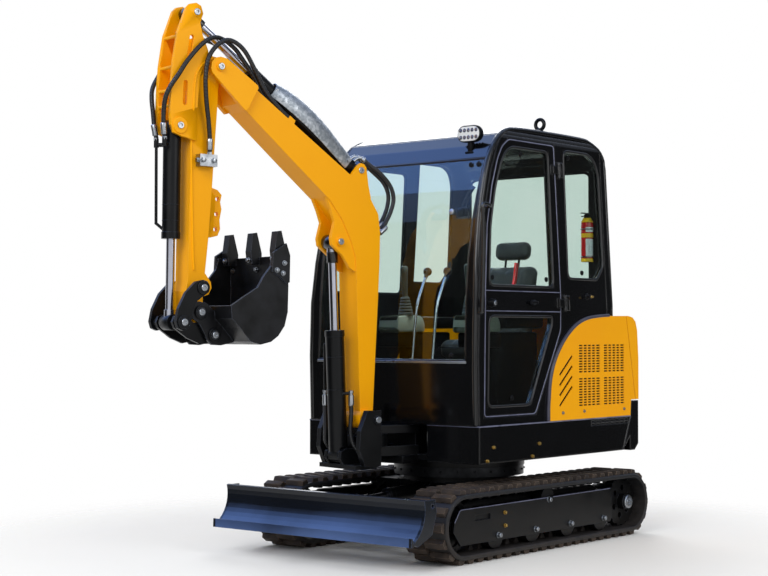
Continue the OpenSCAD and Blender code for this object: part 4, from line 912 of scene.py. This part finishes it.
# Quarter-pane latch with its tip, and the cap of the door's knob
latch = {"y": 465, "z": 1451, "rings": [(20, 0), (20, 5), (17, 9), (9, 10), (9, 22), (13, 24), (13, 30),
        (10, 33)],
    "tip": [(8, 0), (8, 8), (5, 10), (5, 18), (0.5, 20)], "cap": [(13, 0), (13, 3), (10, 6), (0.5, 6.5)]}
latchX = wallX(latch["z"])
latchSpot, tipSpot = (onHouse(x, latch["y"], latch["z"]) for x in (latchX, latchX + 32))
turnedPiece("quarterLatch", "satinBlack", "house", [(latchSpot, outward)], latch["rings"])
turnedPiece("latchTip", "yellowZinc", "house", [(tipSpot, outward)], latch["tip"], 20)
turnedPiece("latchCap", "zincPlate", "door", [(onHouse(640, -509, 1402), outward)], latch["cap"], 20)

# Hood edge: a wide rubber trim along the curved front of the side hood
hoodEdge = [(46, 724), (46, 780), (52, 850), (68, 963), (110, 1068), (180, 1160), (262, 1232), (350, 1284),
    (450, 1316), (560, 1330), (701, 1338)]
for sideName, k in sideNames:
    path = smoothPath([onHouse(k * 618, y - 3, z + 3) for y, z in hoodEdge], 5)
    tubePiece("hoodSeal" + sideName, "trimRubber", "house", [path], 11, 12)

# Bent tubes at the cab's corners, from the front pillar's foot over the roof and down the rear post
frameTube = {"radius": 17, "inset": 14, "eaves": 2340, "lean": 0.35,
    "path": [(-632, 728), (-641, 1100), (-631, 1420), (-608, 1650), (-568, 1870), (-521, 2040),
        (-466, 2190), (-408, 2284), (-337, 2350), (-252, 2389), (-150, 2402), (100, 2407), (520, 2405),
        (618, 2390), (689, 2352), (729, 2302), (743, 2240), (743, 1800), (743, 1348)]}
for sideName, k in sideNames:
    path = []
    for y, z in frameTube["path"]:
        above = max(0, z - frameTube["eaves"])
        x = wallX(z - above, frameTube["inset"]) - above * frameTube["lean"]
        path.append(onHouse(k * x, y, z))
    bent = smoothPath(path, 4)
    tubePiece("frameTube" + sideName, "blackEnamel", "house", [bent], frameTube["radius"], 20)

# Painted highlights: thin pale tubes round the door, across its middle rail and along the top of the skirts
doorHighlightOutline = [(-572, 774), (-568, 1100), (-559, 1460), (-512, 1837), (-450, 2060), (-385, 2215), (-335, 2290),
    (-267, 2336), (187, 2336), (187, 1487), (180, 1250), (-82, 774)]
shape = bmesh.new()
loopTube(shape, [onHouse(wallX(p.y, 1), p.x, p.y) for p in roundOff(doorHighlightOutline, 24)], 3.5, 8)
for z in (1471, 1358):
    tube(shape, [onHouse(wallX(z, 1), y, z) for y in (-556, -300, 0, 182)], 3, 8)
addPiece("doorHighlightTubes", shape, "paintedHighlightBead", "door", sharp=60)
skirtHighlightRuns = []
for k in bothSides:
    skirtHighlightRuns.append([onHouse(k * 626, y, 721) for y in (-636, -100, 400, 932)])
    skirtHighlightRuns.append([onHouse(k * x, -636, 721) for x in (626, 440, 262)])
tubePiece("skirtHighlightTubes", "paintedHighlightBead", "house", skirtHighlightRuns, 4, 8)
print("cab trimmed")

# Work lamp: black shell, ribbed back, ten diodes in front of a white board
lamp = {"x": 413, "z": 2362, "long": 164, "high": 96, "front": -450, "back": -405,
    "diode": [(11.5, 0), (11.5, 2), (9.5, 2.2), (6, 1), (3.5, 1.2), (3, 2.6), (0.3, 3)]}


def stadium(wider, y, steps=10):
    r = lamp["high"] / 2 + wider
    reach = (lamp["long"] - lamp["high"]) / 2
    turn = [math.pi * i / steps for i in range(steps + 1)]
    right = [(lamp["x"] + reach + r * math.sin(a), lamp["z"] + r * math.cos(a)) for a in turn]
    left = [(lamp["x"] - reach - r * math.sin(a), lamp["z"] - r * math.cos(a)) for a in turn]
    return [onHouse(x, y, z) for x, z in right + left]


shape = bmesh.new()
plate(shape, stadium(-6, lamp["back"]), Vector((0, -0.018, 0)), 5)
plate(shape, stadium(0, lamp["back"] - 14), Vector((0, -0.03, 0)), 4)
for i in range(6):
    x = lamp["x"] - 54 + 20 * i
    block(shape, (x, lamp["back"] - 4, lamp["z"] - 36), (x + 5, lamp["back"] + 7, lamp["z"] + 36), 1)
block(shape, (400, -443, 2252), (426, -408, 2330), 4)
block(shape, (386, -449, 2250), (440, -402, 2262), 3)
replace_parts(addPiece("lampShell", shape, "blackPlastic", "house"), "work_lamp")
shape = bmesh.new()
plate(shape, stadium(-7, lamp["front"] + 3), Vector((0, -0.005, 0)), 1)
addPiece("lampFace", shape, "whiteReflector", "house")
diodes = [(onHouse(lamp["x"] - 54 + 27 * i, lamp["front"] - 1, lamp["z"] + row), (0, -1, 0))
    for row in (-20, 20) for i in range(5)]
turnedPiece("lampDiodes", "hardChrome", "house", diodes, lamp["diode"], 16)

# Forged ring eye that lifts the cab
eye = {"x": 470, "y": 180, "foot": 2421, "z": 2470, "radius": 30,
    "rings": [(30, 0), (30, 7), (24, 12), (17, 14), (15, 22)]}
shape = bmesh.new()
turned(shape, onHouse(eye["x"], eye["y"], eye["foot"]), upward, eye["rings"], 28)
ring = [onHouse(eye["x"] + eye["radius"] * math.cos(a), eye["y"], eye["z"] + eye["radius"] * math.sin(a))
    for a in circle(40)]
loopTube(shape, ring, 11, 14)
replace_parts(addPiece("liftingRings", shape, "satinBlack", "house", sharp=50), "lifting_eyes")

# Extinguisher on the rear left post: red bottle, blank bands and sleeves, black valve, zinc straps
bottle = {"x": 490, "y": 655, "z": 1668, "radius": 37, "sleeve": 25, "straps": (32, 202),
    "valve": [(16, 270), (19, 274), (19, 290), (14, 296), (9, 298)]}
base = onHouse(bottle["x"], bottle["y"], bottle["z"])
r = bottle["radius"]
bottleRings = [(r - 8, 0), (r - 2, 3), (r, 10), (r, 228), (r - 2, 240), (r - 9, 252), (r - 18, 260),
    (14, 264), (14, 276)]
bottlePiece = turnedPiece("bottle", "redEnamel", "house", [(base, upward)], bottleRings, 40, 50)
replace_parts(bottlePiece, "extinguisher")
shape = bmesh.new()
for low, high, taper in ((2, 22, 0), (150, 176, 0), (244, 272, 14)):
    band = [(r - 1, low), (r + 0.8, low + 0.4), (r + 0.8 - taper, high - 0.4), (r - 1 - taper, high)]
    turned(shape, base, upward, band, 40)
addPiece("bottleBands", shape, "yellowSleeve", "house")
shape = bmesh.new()
sleeveTurn = [math.radians(-70 + 7.5 * i) for i in range(bottle["sleeve"])]
for low, high in ((38, 142), (184, 214)):
    rows = []
    for wide, z in ((r + 0.6, low), (r + 0.6, high), (r - 0.4, high), (r - 0.4, low)):
        spots = [base + Vector((wide * math.cos(a), wide * math.sin(a), z)) / 1000 for a in sleeveTurn]
        rows.append([shape.verts.new(p) for p in spots])
    for n, row in enumerate(rows):
        after = rows[(n + 1) % len(rows)]
        for i in range(len(row) - 1):
            shape.faces.new((row[i], row[i + 1], after[i + 1], after[i]))
    for i in (0, -1):
        shape.faces.new([row[i] for row in rows])
addPiece("bottleSleeves", shape, "whiteReflector", "house")
shape = bmesh.new()
turned(shape, base, upward, bottle["valve"], 24)
for half, front, back, low, high in ((9, -62, 16, 296, 302), (8, -58, -8, 276, 281)):
    block(shape, (bottle["x"] - half, bottle["y"] + front, bottle["z"] + low),
        (bottle["x"] + half, bottle["y"] + back, bottle["z"] + high), 2)
addPiece("bottleValve", shape, "blackPlastic", "house")
shape = bmesh.new()
for z in bottle["straps"]:
    strap = [base + Vector((39 * math.cos(a), 39 * math.sin(a), z)) / 1000 for a in circle(32)]
    loopTube(shape, strap, 3.5, 8)
addPiece("bottleStraps", shape, "zincPlate", "house", sharp=60)
print("lamp, eye and extinguisher made")

# Seat: three foam pads blown up as cloth, the cushion piped along its seam, on a moulded base
seat = {"voxel": 8, "pressure": 4, "frames": 20, "groove": 5, "grooveWide": 8, "grooveAt": 0.55, "skin": 40,
    "cushion": {"low": (-222, 74, 1088), "high": (222, 486, 1180), "cap": 14, "round": 30, "tilt": 0,
        "hinge": (0, 0, 0), "grooves": "top"},
    "back": {"low": (-208, -72, 14), "high": (208, 24, 510), "cap": 14, "round": 44, "tilt": -9,
        "hinge": (0, 480, 1150), "grooves": "front"},
    "headrest": {"low": (-124, -52, 546), "high": (124, 38, 660), "cap": 12, "round": 40, "tilt": -9,
        "hinge": (0, 480, 1150), "grooves": "none"}}


def padPlace(pad, x, y, z):
    turn = Matrix.Rotation(math.radians(pad["tilt"]), 3, "X")
    return slewAxis + (Vector(pad["hinge"]) + turn @ Vector((x, y, z))) / 1000


def blowPad(piece):
    cloth = piece.modifiers.new("blow", "CLOTH")
    cloth.settings.use_pressure = True
    cloth.settings.uniform_pressure_force = seat["pressure"]
    cloth.settings.effector_weights.gravity = 0
    cloth.show_viewport = False
    bpy.context.evaluated_depsgraph_get().update()
    still = meshNow(piece)
    cloth.show_viewport = True
    for step in range(1, seat["frames"] + 1):
        scene.frame_set(step)
    return still, meshNow(piece)


def makePad(name, pad):
    shape = bmesh.new()
    bmesh.ops.create_cube(shape, size=1)
    low, high = Vector(pad["low"]), Vector(pad["high"])
    for v in shape.verts:
        v.co = Vector([(low[i] + high[i]) / 2 + v.co[i] * (high[i] - low[i]) for i in range(3)]) / 1000
    soften = pad["round"] / 1000
    bmesh.ops.bevel(shape, geom=shape.edges[:], offset=soften, segments=5, affect="EDGES", profile=0.5)
    piece = addObject(name, shape)
    remesh = piece.modifiers.new("remesh", "REMESH")
    remesh.mode = "VOXEL"
    remesh.voxel_size = seat["voxel"] / 1000
    still, blown = blowPad(piece)
    piece.modifiers.clear()
    scene.frame_set(1)
    cap = pad["cap"] / 1000
    seams = (-high.x * seat["grooveAt"], high.x * seat["grooveAt"])
    for before, after in zip(still.vertices, blown.vertices):
        moved = after.co - before.co
        if moved.length > cap:
            moved *= cap / moved.length
        spot = (before.co + moved) * 1000
        groove = seat["groove"] * sum(math.exp(-((spot.x - x) / seat["grooveWide"]) ** 2) for x in seams)
        if pad["grooves"] == "top" and spot.z > low.z + seat["skin"]:
            spot.z -= groove
        if pad["grooves"] == "front" and spot.y < low.y + seat["skin"]:
            spot.y += groove
        after.co = padPlace(pad, *spot)
    piece.data = blown
    blown.shade_smooth()
    blown.materials.clear()
    blown.materials.append(finishes["seatLeather"])
    finer = piece.modifiers.new("finer", "SUBSURF")
    finer.levels = finer.render_levels = 1
    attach(piece, "house")
    return piece


pads = {name: makePad("seat" + name.capitalize(), seat[name]) for name in ("cushion", "back", "headrest")}
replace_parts(pads["cushion"], "seat")
(left, front, low), (right, rear, high) = seat["cushion"]["low"], seat["cushion"]["high"]
corners = [(left - 3, front - 3), (right + 3, front - 3), (right + 3, rear + 3), (left - 3, rear + 3)]
piping = [padPlace(seat["cushion"], p.x, p.y, high - 34) for p in roundOff(corners, 50)]
loopPiece("seatPiping", "sealRubber", "house", piping, 4.5, 8)
shape = bmesh.new()
block(shape, (-226, 114, 1010), (226, 418, 1078), 12)
for i in range(5):
    fold, z = 5 * (i % 2), 800 + 42 * i
    block(shape, (-206 + fold, 134 + fold, z), (206 - fold, 398 - fold, z + 40), 14)
for k in bothSides:
    block(shape, (k * 180 - 20, 112, 720), (k * 180 + 20, 418, 748), 3)
    block(shape, (k * 180 - 14, 120, 744), (k * 180 + 14, 410, 806), 3)
    tube(shape, [padPlace(seat["headrest"], k * 50, -8, z) for z in (470, 520, 570)], 7, 12)
addPiece("seatBase", shape, "blackPlastic", "house")
print("seat sewn")

# Control pods each side of the seat: sage top, black columns, bellows and a grip, with a red lock lever
pod = {"boot": 240, "bootY": -205, "bootZ": 1338, "stickWay": (0, -0.06, 1), "inner": 204, "wide": 150,
    "shell": [(-330, 1252), (-318, 1336), (-130, 1340), (-90, 1336), (-60, 1290), (-60, 1240),
        (-318, 1238)],
    "columns": [((262, -62, 1262), (396, 326, 1334), 16), ((284, -118, 742), (368, 296, 1240), 14),
        ((220, -300, 1150), (388, -100, 1236), 12)],
    "lock": [(300, 60, 1335), (300, 110, 1460), (300, 152, 1533), (300, 174, 1652)],
    "grip": [(15, 110), (15, 118), (17, 150), (18, 190), (20, 230), (23, 262), (24, 282), (21, 294),
        (12, 300)]}
bellows = [(46, -2), (46, 6)]
for i in range(6):
    wide, z = 44 - 3.6 * i, 18 * i
    bellows += [(wide, z + 8), (wide + 3, z + 13), (wide - 1, z + 20), (wide - 6, z + 24)]
shells, columns, grips = bmesh.new(), bmesh.new(), bmesh.new()
for k in bothSides:
    outline = [onHouse(k * pod["inner"], y, z) for y, z in roundOff(pod["shell"], 26)]
    plate(shells, outline, outward * k * pod["wide"] / 1000, 10)
    for (a, b, c), (d, e, f), soften in pod["columns"]:
        block(columns, (k * a, b, c), (k * d, e, f), soften)
    boot = onHouse(k * pod["boot"], pod["bootY"], pod["bootZ"])
    turned(grips, boot, pod["stickWay"], bellows, 32)
    turned(grips, boot, pod["stickWay"], pod["grip"], 28)
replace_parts(addPiece("podShells", shells, "sageAbs", "house"), "controls")
addPiece("podColumns", columns, "blackPlastic", "house")
addPiece("stickGrips", grips, "gripRubber", "house", sharp=50)
lockPath = smoothPath([onHouse(*p) for p in pod["lock"]], 6)
tubePiece("lockLever", "redEnamel", "house", [lockPath], 13, 14, 50)

# Travel levers: bent chrome rods with black knobs, from gaitered feet on the cab floor
lever = {"x": 75, "foot": (-390, 744),
    "path": [(-390, 752), (-372, 900), (-346, 1100), (-305, 1380), (-250, 1508), (-204, 1596)],
    "knob": [(10, -10), (12, 0), (13, 12), (22, 18), (26, 30), (25, 42), (18, 52), (8, 56)],
    "gaiter": [(40, 0), (40, 6), (34, 12), (36, 20), (28, 26), (30, 34), (20, 42), (10, 48)]}
rods, knobs = bmesh.new(), bmesh.new()
for k in bothSides:
    path = smoothPath([onHouse(k * lever["x"], y, z) for y, z in lever["path"]], 6)
    tube(rods, path, 9, 14)
    way = path[-1] - path[-4]
    turned(knobs, path[-1] - way.normalized() * 0.03, way, lever["knob"], 28)
    turned(knobs, onHouse(k * lever["x"], *lever["foot"]), (0, 0.1, 1), lever["gaiter"], 28)
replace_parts(addPiece("leverRods", rods, "hardChrome", "house", sharp=50), "travel_levers")
addPiece("leverKnobs", knobs, "blackEnamel", "house", sharp=50)
print("controls made")

# Pins and eyes of the front gear, as (s, z) on its plane
crowdFoot, crowdEye = (142, 2139), (1214, 2893)
liftFoot, liftEye = (241, 560), (287, 1737)
curlFoot, curlEye = (1309, 2299), (1321, 1291)

# Cylinder guard on the arm ram: a galvanised half shell that swells in the middle
ramRun = Vector((crowdEye[0] - crowdFoot[0], crowdEye[1] - crowdFoot[1])).normalized()
ramUp = Vector((-ramRun.y, ramRun.x))
guard = {"sheet": 3, "dropTo": -36, "lay": 24, "narrow": 0.93, "boltAt": (84, 676),
    "stations": [(70, 50), (130, 58), (200, 68), (280, 80), (360, 88), (440, 91), (520, 88), (600, 78),
        (650, 68), (690, 57)],
    "bolt": [(14, -8), (14, 4), (11, 4, 6), (11, 11, 6)]}


def onRam(t, along, up):
    p = Vector(crowdFoot) + ramRun * along + ramUp * up
    return onGear(t, p.x, p.y)


def guardSkin(shape, thin):
    rows = []
    for along, r in guard["stations"]:
        r -= thin
        reach = math.asin(guard["dropTo"] / r)
        turn = [reach + (math.pi - 2 * reach) * i / guard["lay"] for i in range(guard["lay"] + 1)]
        spots = [onRam(r * guard["narrow"] * math.cos(a), along, r * math.sin(a)) for a in turn]
        rows.append([shape.verts.new(p) for p in spots])
    return rows


shape = bmesh.new()
outer, inner = guardSkin(shape, 0), guardSkin(shape, guard["sheet"])
strips = list(zip(outer, outer[1:])) + list(zip(inner[1:], inner))
strips += [(outer[0], inner[0]), (outer[-1], inner[-1])]
for a, b in strips:
    for i in range(guard["lay"]):
        shape.faces.new((a[i], a[i + 1], b[i + 1], b[i]))
for j in range(len(outer) - 1):
    for i in (0, guard["lay"]):
        shape.faces.new((outer[j][i], outer[j + 1][i], inner[j + 1][i], inner[j][i]))
guardShell = addPiece("ramGuard", shape, "galvanisedSheet", "arm_barrel")
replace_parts(guardShell, "arm_guard")
guardSpots = [(onRam(k * 45, along, 8), leftward * k) for along in guard["boltAt"] for k in bothSides]
turnedPiece("guardBolts", "zincPlate", "arm_barrel", guardSpots, guard["bolt"], 24)

# Rod ends wear black sleeves, barrels wear raised bands
sleeves = {"armRodSleeve": ("arm_rod", onRam(0, 1218, 0), onRam(0, 1274, 0), 33, 56),
    "boomRodSleeve": ("boom_rod", onGear(0, 282.5, 1622), onGear(0, *liftEye), 31, 68)}
for name, (body, base, end, r, long) in sleeves.items():
    rings = [(24, 0), (r, 1), (r, long - 8), (r - 6, long)]
    turnedPiece(name, "blackEnamel", body, [(base, end - base)], rings, 36)


def bands(name, body, foot, eye, radius, heights):
    run = onGear(0, *eye) - onGear(0, *foot)
    shape = bmesh.new()
    for along, wide in heights:
        base = onGear(0, *foot) + run * (along / (run.length * 1000))
        rings = [(radius - 2, 0), (radius + 1.6, 1), (radius + 1.6, wide - 1), (radius - 2, wide)]
        turned(shape, base, run, rings, 44)
    addPiece(name, shape, "satinBlack", body)


def alongFrom(foot, eye, z):
    return (z - foot[1]) / (eye[1] - foot[1]) * math.dist(foot, eye)


liftTop = alongFrom(liftFoot, liftEye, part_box("boom_barrel")[1][2] * 1000)
bands("liftBands", "boom_barrel", liftFoot, liftEye, 52,
    [(liftTop - down, wide) for down, wide in ((9, 8), (30, 3), (150, 4), (330, 4))])
bands("curlBands", "bucket_barrel", curlFoot, curlEye, 46,
    [(alongFrom(curlFoot, curlEye, z), wide) for z, wide in ((1897, 4), (1816, 4), (1736, 8))])

# Steel elbows on the arm ram, from which the knee hoses hang
elbowRoutes = ([(-12, 158, 2196), (-13, 138, 2216), (-12, 116, 2224), (-9, 92, 2214)],
    [(26, 158, 2192), (29, 134, 2209), (31, 108, 2213), (33, 84, 2199)])
elbowNut = [(13, -22), (15, -20), (15, 0), (13, 2)]
shape = bmesh.new()
for route in elbowRoutes:
    path = [onGear(*p) for p in route]
    tube(shape, smoothPath(path, 6), 11, 16)
    turned(shape, path[-1], path[-1] - path[-2], elbowNut, 24)
addPiece("kneeElbows", shape, "zincPlate", "arm_barrel", sharp=50)

# Zinc crimps where hoses end in pipes and ports: each has its place and the way its hose leaves
crimpRings = [(12, 0, 6), (12, 14, 6), (10.5, 16), (10.5, 24), (15.5, 26), (16, 30), (15, 46), (16, 62),
    (16, 80), (14, 84), (12.5, 85)]
crimps = {"armCrimps": ("arm", [((40, 1378, 2226), (4, 8, 64)), ((-46, 1376, 2226), (-4, 10, 64)),
            ((87, 1137, 2157), (1, 0, 81))]),
    "liftCrimps": ("boom_barrel", [((80, 213, 918), (0, -1, -83)), ((-72, 280, 918), (0, -2, -93))]),
    "kneeCrimps": ("boom", [((20, 10, 1806), (0, -25, 20)), ((50, 9, 1780), (0, -22, 18))])}
for name, (body, ends) in crimps.items():
    spots = [(onGear(*place), leftward * t + ahead * s + upward * z) for place, (t, s, z) in ends]
    turnedPiece(name, "zincPlate", body, spots, crimpRings, 24)

# Pin heads: silver discs with a hex socket on each side; the bucket's pins wear black collars
pinRings = [(18, -9), (18, 4), (16, 6.5), (8, 6.5, 6), (8, 1.5, 6), (1, 1.5)]
collarRings = [(35, 0), (36, 2), (36, 7), (33, 9.5), (25, 9.5)]
bossRings = [(43, -1), (43, 3), (40, 6), (25, 6)]
pins = {"crowdPin": ("arm", crowdEye, 86, False), "tipPin": ("boom", (1082, 2620), 114, False),
    "curlPin": ("arm", curlFoot, 84, False), "footPin": ("post", (124, 759), 212, False),
    "crowdFootPin": ("boom", crowdFoot, 80, False), "liftPin": ("boom", liftEye, 86, False),
    "guidePin": ("guide_links", (1205, 1468), 150, True), "curlEyePin": ("guide_links", curlEye, 150, True),
    "bucketPin": ("bucket", (1204, 1343), 126, True), "bucketLinkPin": ("bucket", (1122, 1226), 126, True)}


def pinSpots(place, reach):
    return [(onGear(k * reach, *place), leftward * k) for k in bothSides]


for name, (body, place, reach, collared) in pins.items():
    turnedPiece(name, "zincPlate", body, pinSpots(place, reach), pinRings, 36)
    if collared:
        turnedPiece(name + "Collars", "satinBlack", body, pinSpots(place, reach - 11), collarRings, 36)
turnedPiece("curlBosses", "yellowEnamel", "arm", pinSpots(curlFoot, 78), bossRings, 36)

# Weld ribs on the arm's sides, along the seam of its web, and the bolts of the hose block
ribPath = [(77, 1130, 2641), (77, 1152, 2638), (77, 1180, 2620), (77, 1208, 2580), (77, 1220, 2529),
    (77, 1226, 2450), (77, 1228, 2400), (64, 1229, 2360), (61, 1231, 2300), (61, 1232, 2150),
    (61, 1222, 1700), (61, 1214, 1560)]
ribs = [smoothPath([onGear(k * t, s, z) for t, s, z in ribPath], 6) for k in bothSides]
tubePiece("armRibs", "yellowEnamel", "arm", ribs, 7, 10, 50)
blockBolt = [(14, -1), (14, 2), (11, 2, 6), (11, 12, 6), (8, 13)]
blockSpots = [(onGear(106, 1187, 2127), leftward), (onGear(106, 1122, 2127), leftward),
    (onGear(84, 1205, 2127), ahead)]
turnedPiece("blockBolts", "zincPlate", "arm", blockSpots, blockBolt, 24)
print("front gear dressed")

# Hood grilles: bars that part the long louvres into short slots, and a black mesh behind every slot
louvre = {"y": (357, 632), "z": (802, 1000), "wide": 230, "rows": 11, "pitch": 15.6, "bar": 12,
    "face": 625.8, "deep": 16, "mesh": [(110, 780), (110, 985), (190, 1105), (300, 1180), (885, 1180),
        (885, 780)]}
bars, backs = bmesh.new(), bmesh.new()
barTop = louvre["pitch"] * louvre["rows"] - 5
for k in bothSides:
    for y in louvre["y"]:
        for z in louvre["z"]:
            for i in range(1, 5):
                start = y + louvre["wide"] * i / 5 - louvre["bar"] / 2
                block(bars, (k * (louvre["face"] - louvre["deep"]), start, z - 2),
                    (k * louvre["face"], start + louvre["bar"], z + barTop))
    plate(backs, [onHouse(k * (louvre["face"] - 6), y, z) for y, z in louvre["mesh"]], outward * -k * 0.003)
addPiece("louvreBars", bars, "yellowEnamel", "house")
addPiece("louvreMesh", backs, "blackPlastic", "house")

# Grab rail by the door: one bent tube
railPath = [(585, -546, 1932), (626, -546, 1934), (640, -562, 1940), (640, -604, 1946), (640, -624, 1930),
    (640, -620, 1830), (640, -618, 1702), (640, -624, 1520), (640, -632, 1372), (636, -633, 1350),
    (613, -633, 1343)]
bentRail = smoothPath([onHouse(*p) for p in railPath], 5)
rail = tubePiece("grabTube", "blackEnamel", "house", [bentRail], 11, 16)
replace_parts(rail, "grab_rail")

# Wiper motor inside the top corner of the windscreen, its spindle cap outside
wiperPath = [(421, -505, 1935), (424, -490, 1975), (440, -475, 2020), (462, -462, 2060)]
wiperCap = [(17, -4), (17, 4), (14, 8), (6, 10), (0.5, 10.2)]
shape = bmesh.new()
block(shape, (396, -540, 1880), (446, -486, 1938), 10)
tube(shape, smoothPath([onHouse(*p) for p in wiperPath], 5), 12, 12)
addPiece("wiperMotor", shape, "blackPlastic", "house")
turnedPiece("wiperCap", "zincPlate", "house", [(onHouse(380, -563, 1915), (0, -1, 0.25))], wiperCap, 24)

# Rod eyes: the dark hubs that carry the pins; and the belly plate under the house's nose
hubs = {"armRodHub": ("arm_rod", crowdEye, 38, 41, "blackEnamel"),
    "boomRodHub": ("boom_rod", liftEye, 43.5, 43, "blackEnamel"),
    "curlRodHub": ("bucket_rod", curlEye, 41.5, 41, "bearingSteel")}
for name, (body, place, r, half, finish) in hubs.items():
    rings = [(24.5, 0), (r - 2, 0), (r, 3), (r, 2 * half - 3), (r - 2, 2 * half), (24.5, 2 * half)]
    turnedPiece(name, finish, body, [(onGear(-half, *place), leftward)], rings, 40)
shape = bmesh.new()
block(shape, (-140, -706, 500), (140, -566, 546), 6)
addPiece("noseBelly", shape, "satinBlack", "house")
print("grilles, rail and hubs made")

# The arm's cheeks have two long slots each: cut in a merged copy of the node, which then stands for it
slots = {"radius": 13, "in": 50, "out": 90,
    "ends": [((1239, 2760), (1257, 2655)), ((1276, 2522), (1280, 2418))]}


def slotOutline(k, start, end):
    lean = math.atan2(end[1] - start[1], end[0] - start[0])
    r = slots["radius"]
    outline = []
    for (s, z), turn in ((end, lean), (start, lean + math.pi)):
        for i in range(13):
            a = turn - math.pi / 2 + math.pi * i / 12
            outline.append(onGear(k * slots["in"], s + r * math.cos(a), z + r * math.sin(a)))
    return outline


shape = bmesh.new()
for k in bothSides:
    for start, end in slots["ends"]:
        plate(shape, slotOutline(k, start, end), leftward * k * (slots["out"] - slots["in"]) / 1000)
bmesh.ops.recalc_face_normals(shape, faces=shape.faces)
cutter = addObject("slotCutter", shape)
shape = bmesh.new()
shape.from_mesh(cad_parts["arm"].data)
bmesh.ops.remove_doubles(shape, verts=shape.verts, dist=1e-6)
armSlotted = addObject("armSlotted", shape)
cut = armSlotted.modifiers.new("cut", "BOOLEAN")
cut.object = cutter
cut.solver = "EXACT"
armSlotted.data = meshNow(armSlotted)
armSlotted.modifiers.clear()
bpy.data.objects.remove(cutter)
armSlotted.data.materials.clear()
armSlotted.data.materials.append(finishes["yellowEnamel"])
armSlotted.data.shade_smooth()
armSlotted.data.set_sharp_from_angle(angle=math.radians(30))
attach(armSlotted, "arm")
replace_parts(armSlotted, "arm")

# The CAD nodes keep their shapes and get their real finishes
nodeFinishes = {
    "yellowEnamel": ["boom", "hood_left", "hood_right", "hood_rear"],
    "blackEnamel": ["cab_front", "cab_left", "cab_right", "cab_rear", "cab_roof", "door_frame", "skirts",
        "counterweight", "lifting_eyes"],
    "satinBlack": ["carbody", "track_frame_left", "track_frame_right", "running_gear_left",
        "running_gear_right", "upper_frame", "swing_post", "boom_barrel", "arm_barrel", "bucket_barrel",
        "blade_barrel", "guide_links", "bucket_link", "door_latch"],
    "bladeEnamel": ["blade"],
    "bucketSteel": ["bucket"],
    "bearingSteel": ["slew_bearing"],
    "hardChrome": ["boom_rod", "arm_rod", "bucket_rod", "blade_rod"],
    "galvanisedSheet": ["arm_guard"],
    "zincPlate": ["hose_block"],
    "floatGlass": ["cab_glass", "door_glass"],
    "blackPlastic": ["grilles", "cab_floor", "travel_levers"],
    "sageAbs": ["controls"],
    "seatLeather": ["seat"],
    "redEnamel": ["extinguisher"],
    "redAcrylic": ["tail_lamps"],
    "engineGrey": ["engine"],
    "trackRubber": ["track_left", "track_right"],
}
for finish, names in nodeFinishes.items():
    for name in names:
        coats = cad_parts[name].data.materials
        coats.clear()
        coats.append(finishes[finish])
print("frame dressed")
